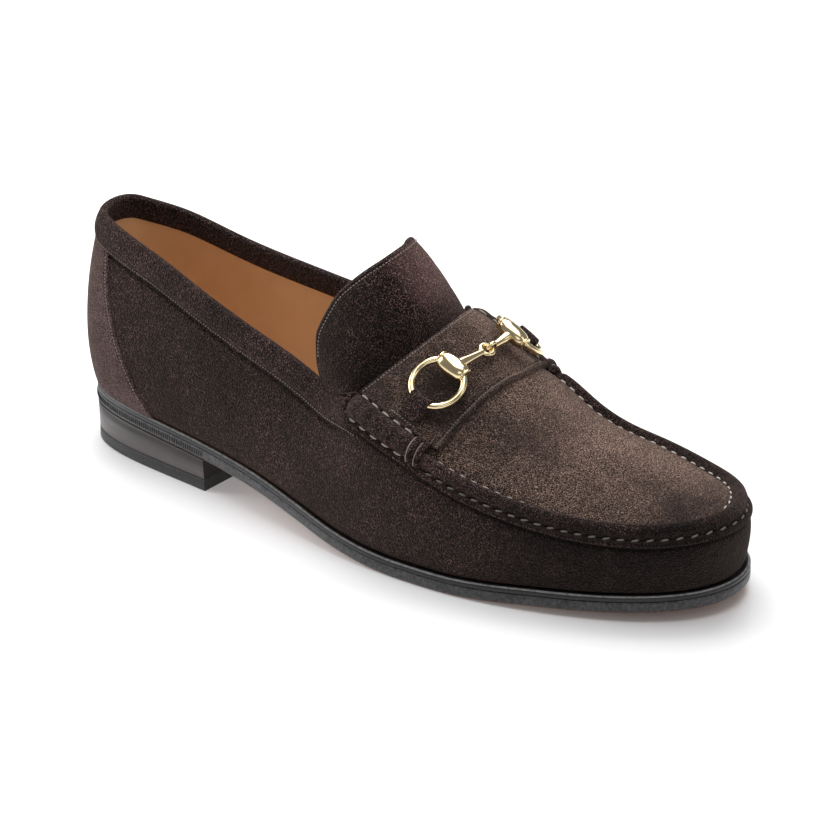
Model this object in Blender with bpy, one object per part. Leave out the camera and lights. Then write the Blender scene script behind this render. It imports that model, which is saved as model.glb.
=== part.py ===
# Bit loafer, right shoe, as a Blender model in metres.
# X runs from heel to toe, Y from the outer (lateral) to the inner (medial) side, Z up from the floor.
import math

import bmesh
import bpy
import numpy as np
from mathutils import Matrix, Vector

# Driving sizes of the last and the sole
SOLE_LENGTH = 0.300
BALL_WIDTH = 0.102
HEEL_HEIGHT = 0.0158
TOE_SPRING = 0.0050
UPPER_HEIGHT = 0.0708
INSTEP_CROWN = 0.0158
INSTEP_BOW = 0.0160

# Sole, welt and heel
OUTSOLE_THICKNESS = 0.0045
OUTSOLE_EDGE_ROUND = 0.0006
WELT_THICKNESS = 0.0023
WELT_WIDTH = 0.0095
WELT_EDGE_ROUND = 0.0004
HEEL_BREAST = 0.074
HEEL_TAPER = 0.0008
TOP_LIFT_THICKNESS = 0.0048
FEATHER_LEDGE = 0.0022
INSOLE_THICKNESS = 0.0030

# Upper and its overlays
WALL = 0.0019
FIT_GAP = 0.0003
OVERLAY_JOINT = 0.00045
THROAT = 0.1545
BAND_WIDTH = 0.0120
BAND_THICKNESS = 0.0011
BAND_END = 0.1500
COUNTER_THICKNESS = 0.0011
RIDGE_WIDTH = 0.0068
RIDGE_HEIGHT = 0.0021
RIDGE_START = 0.1860
RIDGE_FADE = 0.0060
SADDLE_THICKNESS = 0.0018
SADDLE_REAR = 0.1490
SADDLE_FRONT_LATERAL = 0.1935
SADDLE_FRONT_MEDIAL = 0.1850
SADDLE_FRONT_CORNER = 0.2
SADDLE_REACH = 0.91
TONGUE_LENGTH = 0.0347
TONGUE_THICKNESS = 0.0022
TONGUE_REACH = 0.92
TONGUE_CLEARANCE = 0.0008
TONGUE_BEND = 0.0014
TONGUE_BULGE = 0.0026

# Side rolls
ROLL_START = 0.1515
ROLL_END = 0.1875
ROLL_OUTER = 0.0062
ROLL_INNER = 0.0028
ROLL_HEIGHT = 0.0048
ROLL_CLEARANCE = 0.0006
ROLL_ROUNDNESS = 0.7

# Metal bit
RING_RADIUS = 0.01015
RING_WIRE = 0.00135
RING_PLACE = 0.1735
RING_REACH = 0.54
RING_LIFT = (0.0041, 0.0050)
RING_TILT = math.radians(8)
FERRULE_LENGTH = 0.0115
FERRULE_RADIUS = 0.0029
FERRULE_INSET = 0.0014
FERRULE_FLATTEN = 0.86
BAR_ROOT_RADIUS = 0.0018
BAR_TIP_RADIUS = 0.0011
BAR_TIP_TO_WIRE = 1.5
BAR_END_OFFSET = 0.3
LINK_PLACE = 0.1730
LINK_REACH = 0.04
LINK_LIFT = 0.0031
EYE_RADIUS = 0.00225
EYE_WIRE = 0.00080
HOOK_RADIUS = 0.00190
HOOK_WIRE = 0.00065

# Ring tabs
TAB_WIDTH = 0.0090
TAB_LEATHER = 0.0009
TAB_REACH = 0.87

# Mesh density
BACK_STATIONS = 22
THROAT_STATIONS = 3
FRONT_STATIONS = 16
LOWER_ROWS = 5
PLUG_COLUMNS = 12

# Sole outline: share of the length, share of the ball width (lateral side negative)
OUTLINE_LATERAL = (
    (0.000, -0.021), (0.022, -0.206), (0.075, -0.298), (0.160, -0.345), (0.280, -0.388),
    (0.400, -0.449), (0.520, -0.521), (0.620, -0.539), (0.710, -0.522), (0.800, -0.459),
    (0.880, -0.368), (0.945, -0.252), (0.985, -0.123), (1.000, 0.033),
)
OUTLINE_MEDIAL = (
    (0.985, 0.194), (0.940, 0.330), (0.870, 0.418), (0.780, 0.461), (0.690, 0.460),
    (0.600, 0.405), (0.500, 0.320), (0.400, 0.275), (0.280, 0.288), (0.160, 0.311),
    (0.075, 0.276), (0.022, 0.173),
)

# Underside of the outsole: share of the length, share of the heel height, share of the toe spring
UNDERSIDE = (
    (0.00, 1.05, 0.00), (0.10, 1.00, 0.00), (0.24, 0.86, 0.00), (0.33, 0.69, 0.00),
    (0.42, 0.41, 0.00), (0.50, 0.15, 0.00), (0.57, 0.02, 0.00), (0.60, 0.00, 0.00),
    (0.67, 0.00, 0.00), (0.73, 0.00, 0.14), (0.80, 0.00, 0.42), (0.88, 0.00, 0.62),
    (0.95, 0.00, 0.82), (1.00, 0.00, 1.00),
)

# Topline and apron seam: share of the length, share of the ball width, rise over the welt as a share
# of the upper's height
TOP_LATERAL = (
    (0.0010, -0.020, 0.988), (0.0080, -0.104, 0.978), (0.0270, -0.143, 0.962),
    (0.0733, -0.184, 0.932), (0.1500, -0.230, 0.883), (0.2333, -0.272, 0.814),
    (0.3267, -0.299, 0.747), (0.4133, -0.324, 0.706), (0.4600, -0.350, 0.690),
    (0.5000, -0.387, 0.715), (0.5500, -0.424, 0.699), (0.6000, -0.441, 0.657),
    (0.6500, -0.443, 0.590), (0.7000, -0.436, 0.530), (0.8000, -0.385, 0.429),
    (0.8800, -0.300, 0.383), (0.9400, -0.191, 0.373), (0.9700, -0.088, 0.379),
    (0.9827, 0.031, 0.384),
)
TOP_MEDIAL = (
    (0.9700, 0.143, 0.381), (0.9400, 0.246, 0.373), (0.8800, 0.322, 0.383),
    (0.8000, 0.355, 0.431), (0.7000, 0.351, 0.548), (0.6500, 0.363, 0.645),
    (0.6000, 0.373, 0.700), (0.5500, 0.363, 0.795), (0.5000, 0.338, 0.872),
    (0.4600, 0.314, 0.845), (0.4133, 0.299, 0.800), (0.3267, 0.279, 0.771),
    (0.2333, 0.265, 0.774), (0.1500, 0.238, 0.814), (0.0733, 0.186, 0.900),
    (0.0270, 0.120, 0.952), (0.0080, 0.070, 0.980),
)

# Wall of the upper: share of the length, low bulge and high bulge as shares of the ball width, and
# how far the high bulge sits under the topline as a share of the wall's height
WALL_LATERAL = (
    (0.00, 0.074, 0.049, 0.33), (0.10, 0.064, 0.039, 0.33), (0.30, 0.049, 0.029, 0.33),
    (0.42, 0.049, 0.039, 0.30), (0.50, 0.044, 0.055, 0.20), (0.60, 0.034, 0.068, 0.12),
    (0.75, 0.025, 0.068, 0.10), (0.90, 0.025, 0.074, 0.08), (1.00, 0.025, 0.086, 0.08),
)
WALL_MEDIAL = (
    (0.90, 0.025, 0.076, 0.08), (0.75, 0.029, 0.068, 0.10), (0.60, 0.044, 0.068, 0.12),
    (0.50, 0.064, 0.064, 0.20), (0.42, 0.078, 0.059, 0.30), (0.30, 0.078, 0.049, 0.33),
    (0.10, 0.064, 0.039, 0.33),
)
LOW_BULGE_RISE = 0.38

# Ledge of the welt: share of the length, share of the feather ledge
LEDGE = ((0.0, 0.40), (0.25, 0.45), (0.5, 0.85), (0.7, 1.0), (1.0, 1.0))

# Plug over the instep: share of the length, share of the crown, share of the forward bow
PLUG = (
    (0.49, 0.94, 1.03), (0.515, 0.96, 0.94), (0.55, 0.98, 0.78), (0.60, 1.00, 0.50),
    (0.65, 0.99, 0.22), (0.70, 0.86, 0.06), (0.76, 0.71, 0.00), (0.80, 0.63, 0.00),
    (0.88, 0.45, 0.00), (0.94, 0.28, 0.00), (0.9827, 0.00, 0.00),
)

# Apron ridge across its width: share of the width below the seam, share of the ridge height
RIDGE = ((0.0, 0.10), (0.20, 0.75), (0.48, 1.00), (0.78, 0.70), (1.0, 0.0))

# Counter's front edge: share of the wall under the band, share of a turn round the heel
COUNTER_EDGE = ((0.0, 0.128), (0.25, 0.112), (0.50, 0.094), (0.75, 0.078), (1.0, 0.067))

# Tongue's free edge by distance from its middle: share of its half width, then how far the edge lies
# behind and above the saddle's rear edge, and inward, as shares of the tongue's length
TONGUE_EDGE = (
    (0.00, 0.50, 0.88, 0.00), (0.25, 0.55, 0.85, 0.00), (0.50, 0.69, 0.75, 0.00),
    (0.70, 0.78, 0.61, 0.02), (0.85, 0.78, 0.42, 0.04), (0.95, 0.64, 0.18, 0.06),
    (1.00, 0.42, -0.03, 0.07),
)

# Side roll along its length: share of the length, share of the height
ROLL_FULLNESS = ((0.00, 0.55), (0.12, 0.88), (0.25, 1.00), (0.70, 1.00), (0.88, 0.86), (1.00, 0.55))

# Ferrule: share of half its length, share of its radius
FERRULE_SHAPE = ((-1.0, 0.62), (-0.82, 0.86), (-0.4, 1.0), (0.4, 1.0), (0.82, 0.86), (1.0, 0.62))

# Bar: share of the way from the ferrule to the eye, share of the root's extra radius
BAR_TAPER = ((0.0, 1.00), (0.3, 0.98), (0.5, 0.45), (0.8, 0.08), (1.0, 0.00))

SUEDE = ("suede_dark_brown", (0.030, 0.019, 0.014), 0.95, 0.0)
SUEDE_WARM = ("suede_warm_brown", (0.048, 0.030, 0.021), 0.95, 0.0)
SUEDE_HEEL = ("suede_heel_brown", (0.052, 0.036, 0.030), 0.95, 0.0)
EDGE = ("sole_edge_black", (0.012, 0.011, 0.011), 0.45, 0.0)
WELT_EDGE = ("welt_black", (0.010, 0.009, 0.009), 0.55, 0.0)
STACK = ("heel_stack_brown", (0.060, 0.045, 0.038), 0.40, 0.0)
LIFT = ("top_lift_black", (0.013, 0.013, 0.014), 0.60, 0.0)
TAN = ("insole_tan", (0.420, 0.230, 0.100), 0.60, 0.0)
GOLD = ("pale_gold", (0.830, 0.640, 0.350), 0.15, 1.0)


def clear_scene():
    for item in list(bpy.data.objects):
        bpy.data.objects.remove(item, do_unlink=True)


def material(look):
    name, colour, roughness, metallic = look
    if name in bpy.data.materials:
        return bpy.data.materials[name]
    made = bpy.data.materials.new(name)
    made.use_nodes = True
    shader = made.node_tree.nodes["Principled BSDF"]
    shader.inputs["Base Color"].default_value = (*colour, 1.0)
    shader.inputs["Roughness"].default_value = roughness
    shader.inputs["Metallic"].default_value = metallic
    return made


def add_solid(name, points, faces, look, sharp=35):
    mesh = bpy.data.meshes.new(name)
    mesh.from_pydata([tuple(p) for p in points], [], faces)
    work = bmesh.new()
    work.from_mesh(mesh)
    bmesh.ops.triangulate(work, faces=work.faces, quad_method="BEAUTY")
    bmesh.ops.recalc_face_normals(work, faces=work.faces)
    work.to_mesh(mesh)
    work.free()
    mesh.shade_smooth()
    mesh.set_sharp_from_angle(angle=math.radians(sharp))
    mesh.materials.append(material(look))
    solid = bpy.data.objects.new(name, mesh)
    bpy.context.scene.collection.objects.link(solid)
    return solid


def smooth_table(rows, column):
    """Curve through one column of a table that never overshoots its rows."""
    x = np.array([row[0] for row in rows], float)
    y = np.array([row[column] for row in rows], float)
    step = np.diff(x)
    rise = np.diff(y) / step
    slope = np.zeros(len(x))
    for i in range(1, len(x) - 1):
        if rise[i - 1] * rise[i] > 0:
            before = 2 * step[i] + step[i - 1]
            after = step[i] + 2 * step[i - 1]
            slope[i] = (before + after) / (before / rise[i - 1] + after / rise[i])
    slope[0] = rise[0]
    slope[-1] = rise[-1]

    def curve(at):
        at = np.clip(np.asarray(at, float), x[0], x[-1])
        i = np.clip(np.searchsorted(x, at, side="right") - 1, 0, len(step) - 1)
        return hermite((at - x[i]) / step[i], step[i], y[i], y[i + 1], slope[i], slope[i + 1])

    return curve


def hermite(u, step, start, end, start_slope, end_slope):
    a = 2 * u**3 - 3 * u**2 + 1
    b = u**3 - 2 * u**2 + u
    c = 3 * u**2 - 2 * u**3
    d = u**3 - u**2
    return a * start + b * step * start_slope + c * end + d * step * end_slope


def turn_of(share, medial):
    """Share of a turn round the shoe, from the heel's back along the lateral side to the toe."""
    turn = math.acos(max(-1.0, min(1.0, 1 - 2 * share))) / (2 * math.pi)
    return 1 - turn if medial else turn


def share_at(turn):
    return (1 - np.cos(2 * np.pi * np.asarray(turn, float))) / 2


def closed_table(lateral, medial, column):
    """Closed smooth curve round the shoe through one column of a lateral and a medial table."""
    back = lateral[0][0]
    tip = lateral[-1][0]
    knots = [turn_of((row[0] - back) / (tip - back), False) for row in lateral]
    knots += [turn_of((row[0] - back) / (tip - back), True) for row in medial]
    values = np.array([row[column] for row in lateral + medial], float)
    knots = np.array(knots)
    count = len(knots)
    step = np.diff(np.append(knots, knots[0] + 1))
    matrix = np.zeros((count, count))
    right = np.zeros(count)
    for i in range(count):
        before = step[i - 1]
        after = step[i]
        following = (i + 1) % count
        matrix[i, i - 1] += 1 / before
        matrix[i, i] += 2 / before + 2 / after
        matrix[i, following] += 1 / after
        right[i] = 3 * (values[i] - values[i - 1]) / before**2
        right[i] += 3 * (values[following] - values[i]) / after**2
    slope = np.linalg.solve(matrix, right)

    def curve(turn):
        turn = np.mod(np.asarray(turn, float), 1.0)
        i = np.clip(np.searchsorted(knots, turn, side="right") - 1, 0, count - 1)
        j = (i + 1) % count
        return hermite((turn - knots[i]) / step[i], step[i], values[i], values[j], slope[i], slope[j])

    return curve


heel_share = smooth_table(UNDERSIDE, 1)
spring_share = smooth_table(UNDERSIDE, 2)
ledge_share = smooth_table(LEDGE, 1)
crown_share = smooth_table(PLUG, 1)
bow_share = smooth_table(PLUG, 2)
ridge_share = smooth_table(RIDGE, 1)
counter_turn = smooth_table(COUNTER_EDGE, 1)
roll_fullness = smooth_table(ROLL_FULLNESS, 1)
outline_side = closed_table(OUTLINE_LATERAL, OUTLINE_MEDIAL, 1)
top_side = closed_table(TOP_LATERAL, TOP_MEDIAL, 1)
top_rise = closed_table(TOP_LATERAL, TOP_MEDIAL, 2)
low_bulge = closed_table(WALL_LATERAL, WALL_MEDIAL, 1)
high_bulge = closed_table(WALL_LATERAL, WALL_MEDIAL, 2)
high_drop = closed_table(WALL_LATERAL, WALL_MEDIAL, 3)
TOP_BACK = TOP_LATERAL[0][0] * SOLE_LENGTH
TOP_TIP = TOP_LATERAL[-1][0] * SOLE_LENGTH


def underside(x):
    share = np.asarray(x, float) / SOLE_LENGTH
    return HEEL_HEIGHT * heel_share(share) + TOE_SPRING * spring_share(share)


def welt_top(x):
    return underside(x) + OUTSOLE_THICKNESS + FIT_GAP + WELT_THICKNESS


def feather_height(x):
    return welt_top(x) + FIT_GAP


def outline_point(turn):
    return np.stack([SOLE_LENGTH * share_at(turn), BALL_WIDTH * outline_side(turn)], axis=-1)


def outline_normal(turn):
    """Outward direction of the sole's outline in plan."""
    small = 1e-4
    along = outline_point(turn + small) - outline_point(turn - small)
    out = np.stack([-along[..., 1], along[..., 0]], axis=-1)
    out = out / np.linalg.norm(out, axis=-1, keepdims=True)
    return -out


def inset_outline(turn, inset):
    inset = np.asarray(inset, float)
    return outline_point(turn) - outline_normal(turn) * inset[..., None]


def top_turn(x, medial=False):
    return turn_of((x - TOP_BACK) / (TOP_TIP - TOP_BACK), medial)


def top_point(turn):
    """Topline behind the throat, apron seam in front of it."""
    x = TOP_BACK + (TOP_TIP - TOP_BACK) * share_at(turn)
    y = BALL_WIDTH * top_side(turn)
    z = feather_height(x) + UPPER_HEIGHT * top_rise(turn)
    return np.stack([x, y, z], axis=-1)


def feather_point(turn):
    share = share_at(turn)
    plan = inset_outline(turn, FEATHER_LEDGE * ledge_share(share))
    return np.concatenate([plan, feather_height(plan[..., 0])[..., None]], axis=-1)


def front_share(turn):
    """0 along the collar, 1 along the apron."""
    x = TOP_BACK + (TOP_TIP - TOP_BACK) * share_at(turn)
    blend = np.clip((x - THROAT) / (RIDGE_START - THROAT), 0, 1)
    return blend * blend * (3 - 2 * blend)


def wall_out(turn):
    """Outward direction of the wall in plan, level."""
    plan = outline_normal(turn)
    return np.concatenate([plan, np.zeros(plan.shape[:-1] + (1,))], axis=-1)


def wall_curves(turn, samples=49):
    """Wall section at each turn, sampled from the feather edge up to the top edge."""
    turn = np.atleast_1d(np.asarray(turn, float))
    foot = feather_point(turn)
    top = top_point(turn)
    out = wall_out(turn)
    up = np.array([0.0, 0.0, 1.0])
    height = (top[:, 2] - foot[:, 2])[:, None]
    low = foot + out * (BALL_WIDTH * low_bulge(turn))[:, None] + up * height * LOW_BULGE_RISE
    high = top + out * (BALL_WIDTH * high_bulge(turn))[:, None] - up * height * high_drop(turn)[:, None]
    u = np.linspace(0, 1, samples)[None, :, None]
    curve = (1 - u) ** 3 * foot[:, None] + 3 * u * (1 - u) ** 2 * low[:, None]
    curve = curve + 3 * u**2 * (1 - u) * high[:, None] + u**3 * top[:, None]
    return curve


def wall_point(turn, under_top):
    """Point of the wall at a distance under its top edge, measured along the section."""
    turn = np.atleast_1d(np.asarray(turn, float))
    under_top = np.broadcast_to(np.asarray(under_top, float), turn.shape)
    curve = wall_curves(turn)
    step = np.linalg.norm(np.diff(curve, axis=1), axis=2)
    from_top = np.concatenate([np.cumsum(step[:, ::-1], axis=1)[:, ::-1], np.zeros((len(turn), 1))], axis=1)
    points = np.empty((len(turn), 3))
    for i in range(len(turn)):
        for axis in range(3):
            points[i, axis] = np.interp(under_top[i], from_top[i, ::-1], curve[i, ::-1, axis])
    return points


def wall_length(turn):
    curve = wall_curves(turn)
    return np.linalg.norm(np.diff(curve, axis=1), axis=2).sum(axis=1)


def instep_point(x, across):
    """Plug and instep: x of the chord's ends, and -1 at the lateral end to 1 at the medial end."""
    x, across = np.broadcast_arrays(np.asarray(x, float), np.asarray(across, float))
    share = np.clip((x - TOP_BACK) / (TOP_TIP - TOP_BACK), 0, 1)
    turn = np.arccos(1 - 2 * share) / (2 * np.pi)
    lateral = top_point(turn)
    medial = top_point(1 - turn)
    half = ((across + 1) / 2)[..., None]
    hump = 1 - across**2
    point = lateral * (1 - half) + medial * half
    point[..., 0] += INSTEP_BOW * bow_share(x / SOLE_LENGTH) * hump
    point[..., 2] += INSTEP_CROWN * crown_share(x / SOLE_LENGTH) * hump
    return point


def patch_normals(surface, u, v, outward):
    """Unit normals of a surface function, turned to the side that outward points to."""
    small = 2e-5
    du = surface(u + small, v) - surface(u - small, v)
    dv = surface(u, v + small) - surface(u, v - small)
    normal = np.cross(du, dv)
    normal = normal / np.linalg.norm(normal, axis=-1, keepdims=True)
    sign = np.sign((normal * outward).sum(axis=-1, keepdims=True))
    return normal * sign


def instep_normal(x, across):
    return patch_normals(instep_point, np.asarray(x, float), np.asarray(across, float), np.array([0, 0, 1.0]))


def grid_normals(grid, outward):
    """Unit normals of a grid of points by its own differences."""
    du = np.gradient(grid, axis=0)
    dv = np.gradient(grid, axis=1)
    normal = np.cross(du, dv)
    normal = normal / np.linalg.norm(normal, axis=-1, keepdims=True)
    sign = np.sign((normal * outward).sum(axis=-1, keepdims=True))
    return normal * sign


def sheet_solid(name, inner, outer, look):
    """Closed solid between two grids of points of the same shape."""
    rows, columns = outer.shape[:2]
    points = np.concatenate([outer.reshape(-1, 3), inner.reshape(-1, 3)])
    shift = rows * columns
    faces = []
    for i in range(rows - 1):
        for j in range(columns - 1):
            a = i * columns + j
            b = a + 1
            faces.append((a, b, b + columns, a + columns))
            faces.append((a + shift, a + columns + shift, b + columns + shift, b + shift))
    rim = [(0, j) for j in range(columns)]
    rim += [(i, columns - 1) for i in range(1, rows)]
    rim += [(rows - 1, j) for j in range(columns - 2, -1, -1)]
    rim += [(i, 0) for i in range(rows - 2, 0, -1)]
    for (i, j), (k, m) in zip(rim, rim[1:] + rim[:1]):
        a = i * columns + j
        b = k * columns + m
        faces.append((a, a + shift, b + shift, b))
    return add_solid(name, points, faces, look)


def ladder(ring, first):
    """Faces across a closed ring that is symmetric about its first point."""
    faces = [(first, first + 1, first + ring - 1)]
    i = 1
    while i + 1 < ring - i - 1:
        faces.append((first + i, first + i + 1, first + ring - i - 1, first + ring - i))
        i += 1
    if ring % 2 == 0:
        faces.append((first + i, first + i + 1, first + i + 2))
    return faces


def plate(name, rings, look):
    """Solid through a stack of closed rings, closed by a face at each end."""
    count = len(rings[0])
    faces = ladder(count, 0) + ladder(count, count * (len(rings) - 1))
    for r in range(len(rings) - 1):
        for i in range(count):
            j = (i + 1) % count
            faces.append((r * count + i, r * count + j, (r + 1) * count + j, (r + 1) * count + i))
    return add_solid(name, np.concatenate(rings), faces, look)


def hoop(name, rings, look):
    """Ring-shaped solid through closed rings, the last joined to the first."""
    count = len(rings[0])
    faces = []
    for r in range(len(rings)):
        s = (r + 1) % len(rings)
        for i in range(count):
            j = (i + 1) % count
            faces.append((r * count + i, r * count + j, s * count + j, s * count + i))
    return add_solid(name, np.concatenate(rings), faces, look)


def stations():
    """Turns round the shoe, with one exactly at the throat and one where the apron ridge starts."""
    throat = top_turn(THROAT)
    ridge = top_turn(RIDGE_START)
    back = np.linspace(0, throat, BACK_STATIONS + 1)
    middle = np.linspace(throat, ridge, THROAT_STATIONS + 1)[1:]
    front = np.linspace(ridge, 0.5, FRONT_STATIONS + 1)[1:]
    lateral = np.concatenate([back, middle, front])
    return np.concatenate([lateral, 1 - lateral[-2:0:-1]])


def sole_ring(turns, inset, height):
    plan = inset_outline(turns, np.full(len(turns), inset))
    return np.concatenate([plan, height(plan[:, 0])[:, None]], axis=1)


def heel_turns():
    """Turns of the heel block, from the back round the lateral side to the breast and back."""
    breast = turn_of(HEEL_BREAST / SOLE_LENGTH, False)
    lateral = np.linspace(0, breast, 12)
    return np.concatenate([lateral, 1 - lateral[:0:-1]])


def build_outsole(turns):
    bottom = underside
    low = lambda x: underside(x) + OUTSOLE_EDGE_ROUND
    high = lambda x: underside(x) + OUTSOLE_THICKNESS - OUTSOLE_EDGE_ROUND
    top = lambda x: underside(x) + OUTSOLE_THICKNESS
    rings = [
        sole_ring(turns, OUTSOLE_EDGE_ROUND, bottom),
        sole_ring(turns, 0.0, low),
        sole_ring(turns, 0.0, high),
        sole_ring(turns, OUTSOLE_EDGE_ROUND, top),
    ]
    plate("outsole", rings, EDGE)


def build_welt(turns):
    bottom = lambda x: underside(x) + OUTSOLE_THICKNESS + FIT_GAP
    shoulder = lambda x: welt_top(x) - WELT_EDGE_ROUND
    rings = [
        sole_ring(turns, WELT_EDGE_ROUND, bottom),
        sole_ring(turns, 0.0, lambda x: bottom(x) + WELT_EDGE_ROUND),
        sole_ring(turns, 0.0, shoulder),
        sole_ring(turns, WELT_EDGE_ROUND, welt_top),
        sole_ring(turns, WELT_WIDTH, welt_top),
        sole_ring(turns, WELT_WIDTH, bottom),
    ]
    hoop("welt", rings, WELT_EDGE)


def build_heel():
    """Stacked heel block and its top lift, tapering towards the floor."""
    turns = heel_turns()
    seat = lambda x: underside(x) - FIT_GAP
    joint = TOP_LIFT_THICKNESS + FIT_GAP
    flat = lambda level: (lambda x: np.full(len(x), level))
    joint_taper = HEEL_TAPER * (1 - joint / HEEL_HEIGHT)
    lift_taper = HEEL_TAPER * (1 - TOP_LIFT_THICKNESS / HEEL_HEIGHT)
    plate("heel_stack", [sole_ring(turns, joint_taper, flat(joint)), sole_ring(turns, 0.0, seat)], STACK)
    lift = [sole_ring(turns, HEEL_TAPER, flat(0.0)), sole_ring(turns, lift_taper, flat(TOP_LIFT_THICKNESS))]
    plate("top_lift", lift, LIFT)


def build_insole(turns):
    """Insole board on the welt, with its filler inside the welt."""
    filler = WELT_WIDTH + FIT_GAP
    edge = FEATHER_LEDGE + WALL + FIT_GAP
    filler_bottom = lambda x: underside(x) + OUTSOLE_THICKNESS + FIT_GAP
    board_top = lambda x: feather_height(x) + INSOLE_THICKNESS
    rings = [
        sole_ring(turns, filler, filler_bottom),
        sole_ring(turns, filler, feather_height),
        sole_ring(turns, edge, feather_height),
        sole_ring(turns, edge, board_top),
    ]
    plate("insole", rings, TAN)


def wall_rows(turns):
    """Distances under the top edge of each row of the wall, from the feather edge up."""
    length = wall_length(turns)
    front = front_share(turns)
    zone = BAND_WIDTH * (1 - front) + RIDGE_WIDTH * front
    rows = [length - (length - zone) * share for share in np.linspace(0, 1, LOWER_ROWS + 1)]
    rows += [zone * (1 - share) for share in (0.22, 0.52, 0.80, 1.0)]
    return np.array(rows).T, zone


def ridge_lift(turns, under_top, zone):
    """How far the raised apron seam stands out of the wall."""
    x = TOP_BACK + (TOP_TIP - TOP_BACK) * share_at(turns)
    grown = np.clip((x - RIDGE_START) / RIDGE_FADE, 0, 1)
    return RIDGE_HEIGHT * grown[:, None] * ridge_share(np.clip(under_top / zone[:, None], 0, 1))


def smooth_normals(points, faces):
    normals = np.zeros_like(points)
    for face in faces:
        corners = points[list(face)]
        normal = np.cross(corners[1] - corners[0], corners[2] - corners[0])
        if len(face) == 4:
            normal = normal + np.cross(corners[2] - corners[0], corners[3] - corners[0])
        for index in face:
            normals[index] += normal
    return normals / np.linalg.norm(normals, axis=1, keepdims=True)


def build_upper(turns):
    """Hollow upper: wall round the foot and plug over the toes, open at the collar and underneath."""
    count = len(turns)
    under_top, zone = wall_rows(turns)
    rows = under_top.shape[1]
    grid = np.stack([wall_point(turns, under_top[:, j]) for j in range(rows)], axis=1)
    lift = ridge_lift(turns, under_top, zone)
    points = [grid.reshape(-1, 3)]
    lifts = [lift.reshape(-1)]
    index = lambda i, j: (i % count) * rows + j
    faces = []
    for i in range(count):
        for j in range(rows - 1):
            faces.append((index(i, j), index(i + 1, j), index(i + 1, j + 1), index(i, j + 1)))
    top = rows - 1
    toe = count // 2
    chords = []
    total = count * rows
    across = np.linspace(-1, 1, PLUG_COLUMNS + 1)
    for i in range(BACK_STATIONS, toe):
        x = grid[i, top, 0]
        inner = instep_point(x, across[1:-1])
        points.append(inner)
        lifts.append(np.zeros(len(inner)))
        middle = list(range(total, total + len(inner)))
        chords.append([index(i, top)] + middle + [index(count - i, top)])
        total += len(inner)
    for near, far in zip(chords, chords[1:]):
        for a in range(PLUG_COLUMNS):
            faces.append((near[a], far[a], far[a + 1], near[a + 1]))
    for a in range(PLUG_COLUMNS):
        faces.append((chords[-1][a], index(toe, top), chords[-1][a + 1]))
    base = np.concatenate(points)
    normals = smooth_normals(base, faces)
    if normals[index(0, 2)][0] > 0:
        normals = -normals
    outer = base + normals * np.concatenate(lifts)[:, None]
    inner = base - normals * WALL
    foot = [index(i, 0) for i in range(count)]
    inner[foot, 2] = outer[foot, 2]
    rim = [index(i, top) for i in range(BACK_STATIONS, -1, -1)]
    rim += [index(count - i, top) for i in range(1, BACK_STATIONS + 1)]
    rim += chords[0][-2:0:-1]
    solid = [tuple(face) for face in faces]
    solid += [tuple(i + total for i in reversed(face)) for face in faces]
    for loop in (foot, rim):
        for a, b in zip(loop, loop[1:] + loop[:1]):
            solid.append((a, b, b + total, a + total))
    add_solid("upper", np.concatenate([outer, inner]), solid, SUEDE, sharp=50)


def build_collar_band(turns):
    end = top_turn(BAND_END)
    side = turns[1:BACK_STATIONS]
    side = np.append(side[side < end - 0.2 * turns[1]], end)
    path = np.concatenate([-side[::-1], [0.0], side])
    grid = np.stack([wall_point(path, BAND_WIDTH * share) for share in (1.0, 0.78, 0.48, 0.20, 0.0)])
    normal = grid_normals(grid, wall_out(path))
    inner = grid + normal * FIT_GAP
    outer = grid + normal * (FIT_GAP + BAND_THICKNESS)
    sheet_solid("collar_band", inner, outer, SUEDE)


def build_heel_counter():
    """Counter patch round the heel, from the feather edge up to the band."""
    shares = np.linspace(0, 1, 7)
    paths = counter_turn(shares)[:, None] * np.linspace(-1, 1, 19)
    rows = []
    for share, path in zip(shares, paths):
        length = wall_length(path)
        rows.append(wall_point(path, length - share * (length - BAND_WIDTH - OVERLAY_JOINT)))
    grid = np.stack(rows)
    normal = grid_normals(grid, wall_out(paths))
    inner = grid + normal * FIT_GAP
    outer = grid + normal * (FIT_GAP + COUNTER_THICKNESS)
    inner[0, :, 2] = grid[0, :, 2]
    outer[0, :, 2] = grid[0, :, 2]
    sheet_solid("heel_counter", inner, outer, SUEDE_HEEL)


def build_saddle():
    """Strap over the instep, whose front edge runs back on the medial side."""
    across = np.linspace(-SADDLE_REACH, SADDLE_REACH, 17)
    run_back = np.clip((across - SADDLE_FRONT_CORNER) / (1 - SADDLE_FRONT_CORNER), 0, 1)
    front = SADDLE_FRONT_LATERAL + (SADDLE_FRONT_MEDIAL - SADDLE_FRONT_LATERAL) * run_back
    shares = np.linspace(0, 1, 8)
    x = SADDLE_REAR + (front - SADDLE_REAR)[None, :] * shares[:, None]
    width = np.broadcast_to(across, x.shape)
    base = instep_point(x, width)
    normal = instep_normal(x, width)
    inner = base + normal * FIT_GAP
    outer = base + normal * (FIT_GAP + SADDLE_THICKNESS)
    sheet_solid("saddle", inner, outer, SUEDE_WARM)


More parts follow.
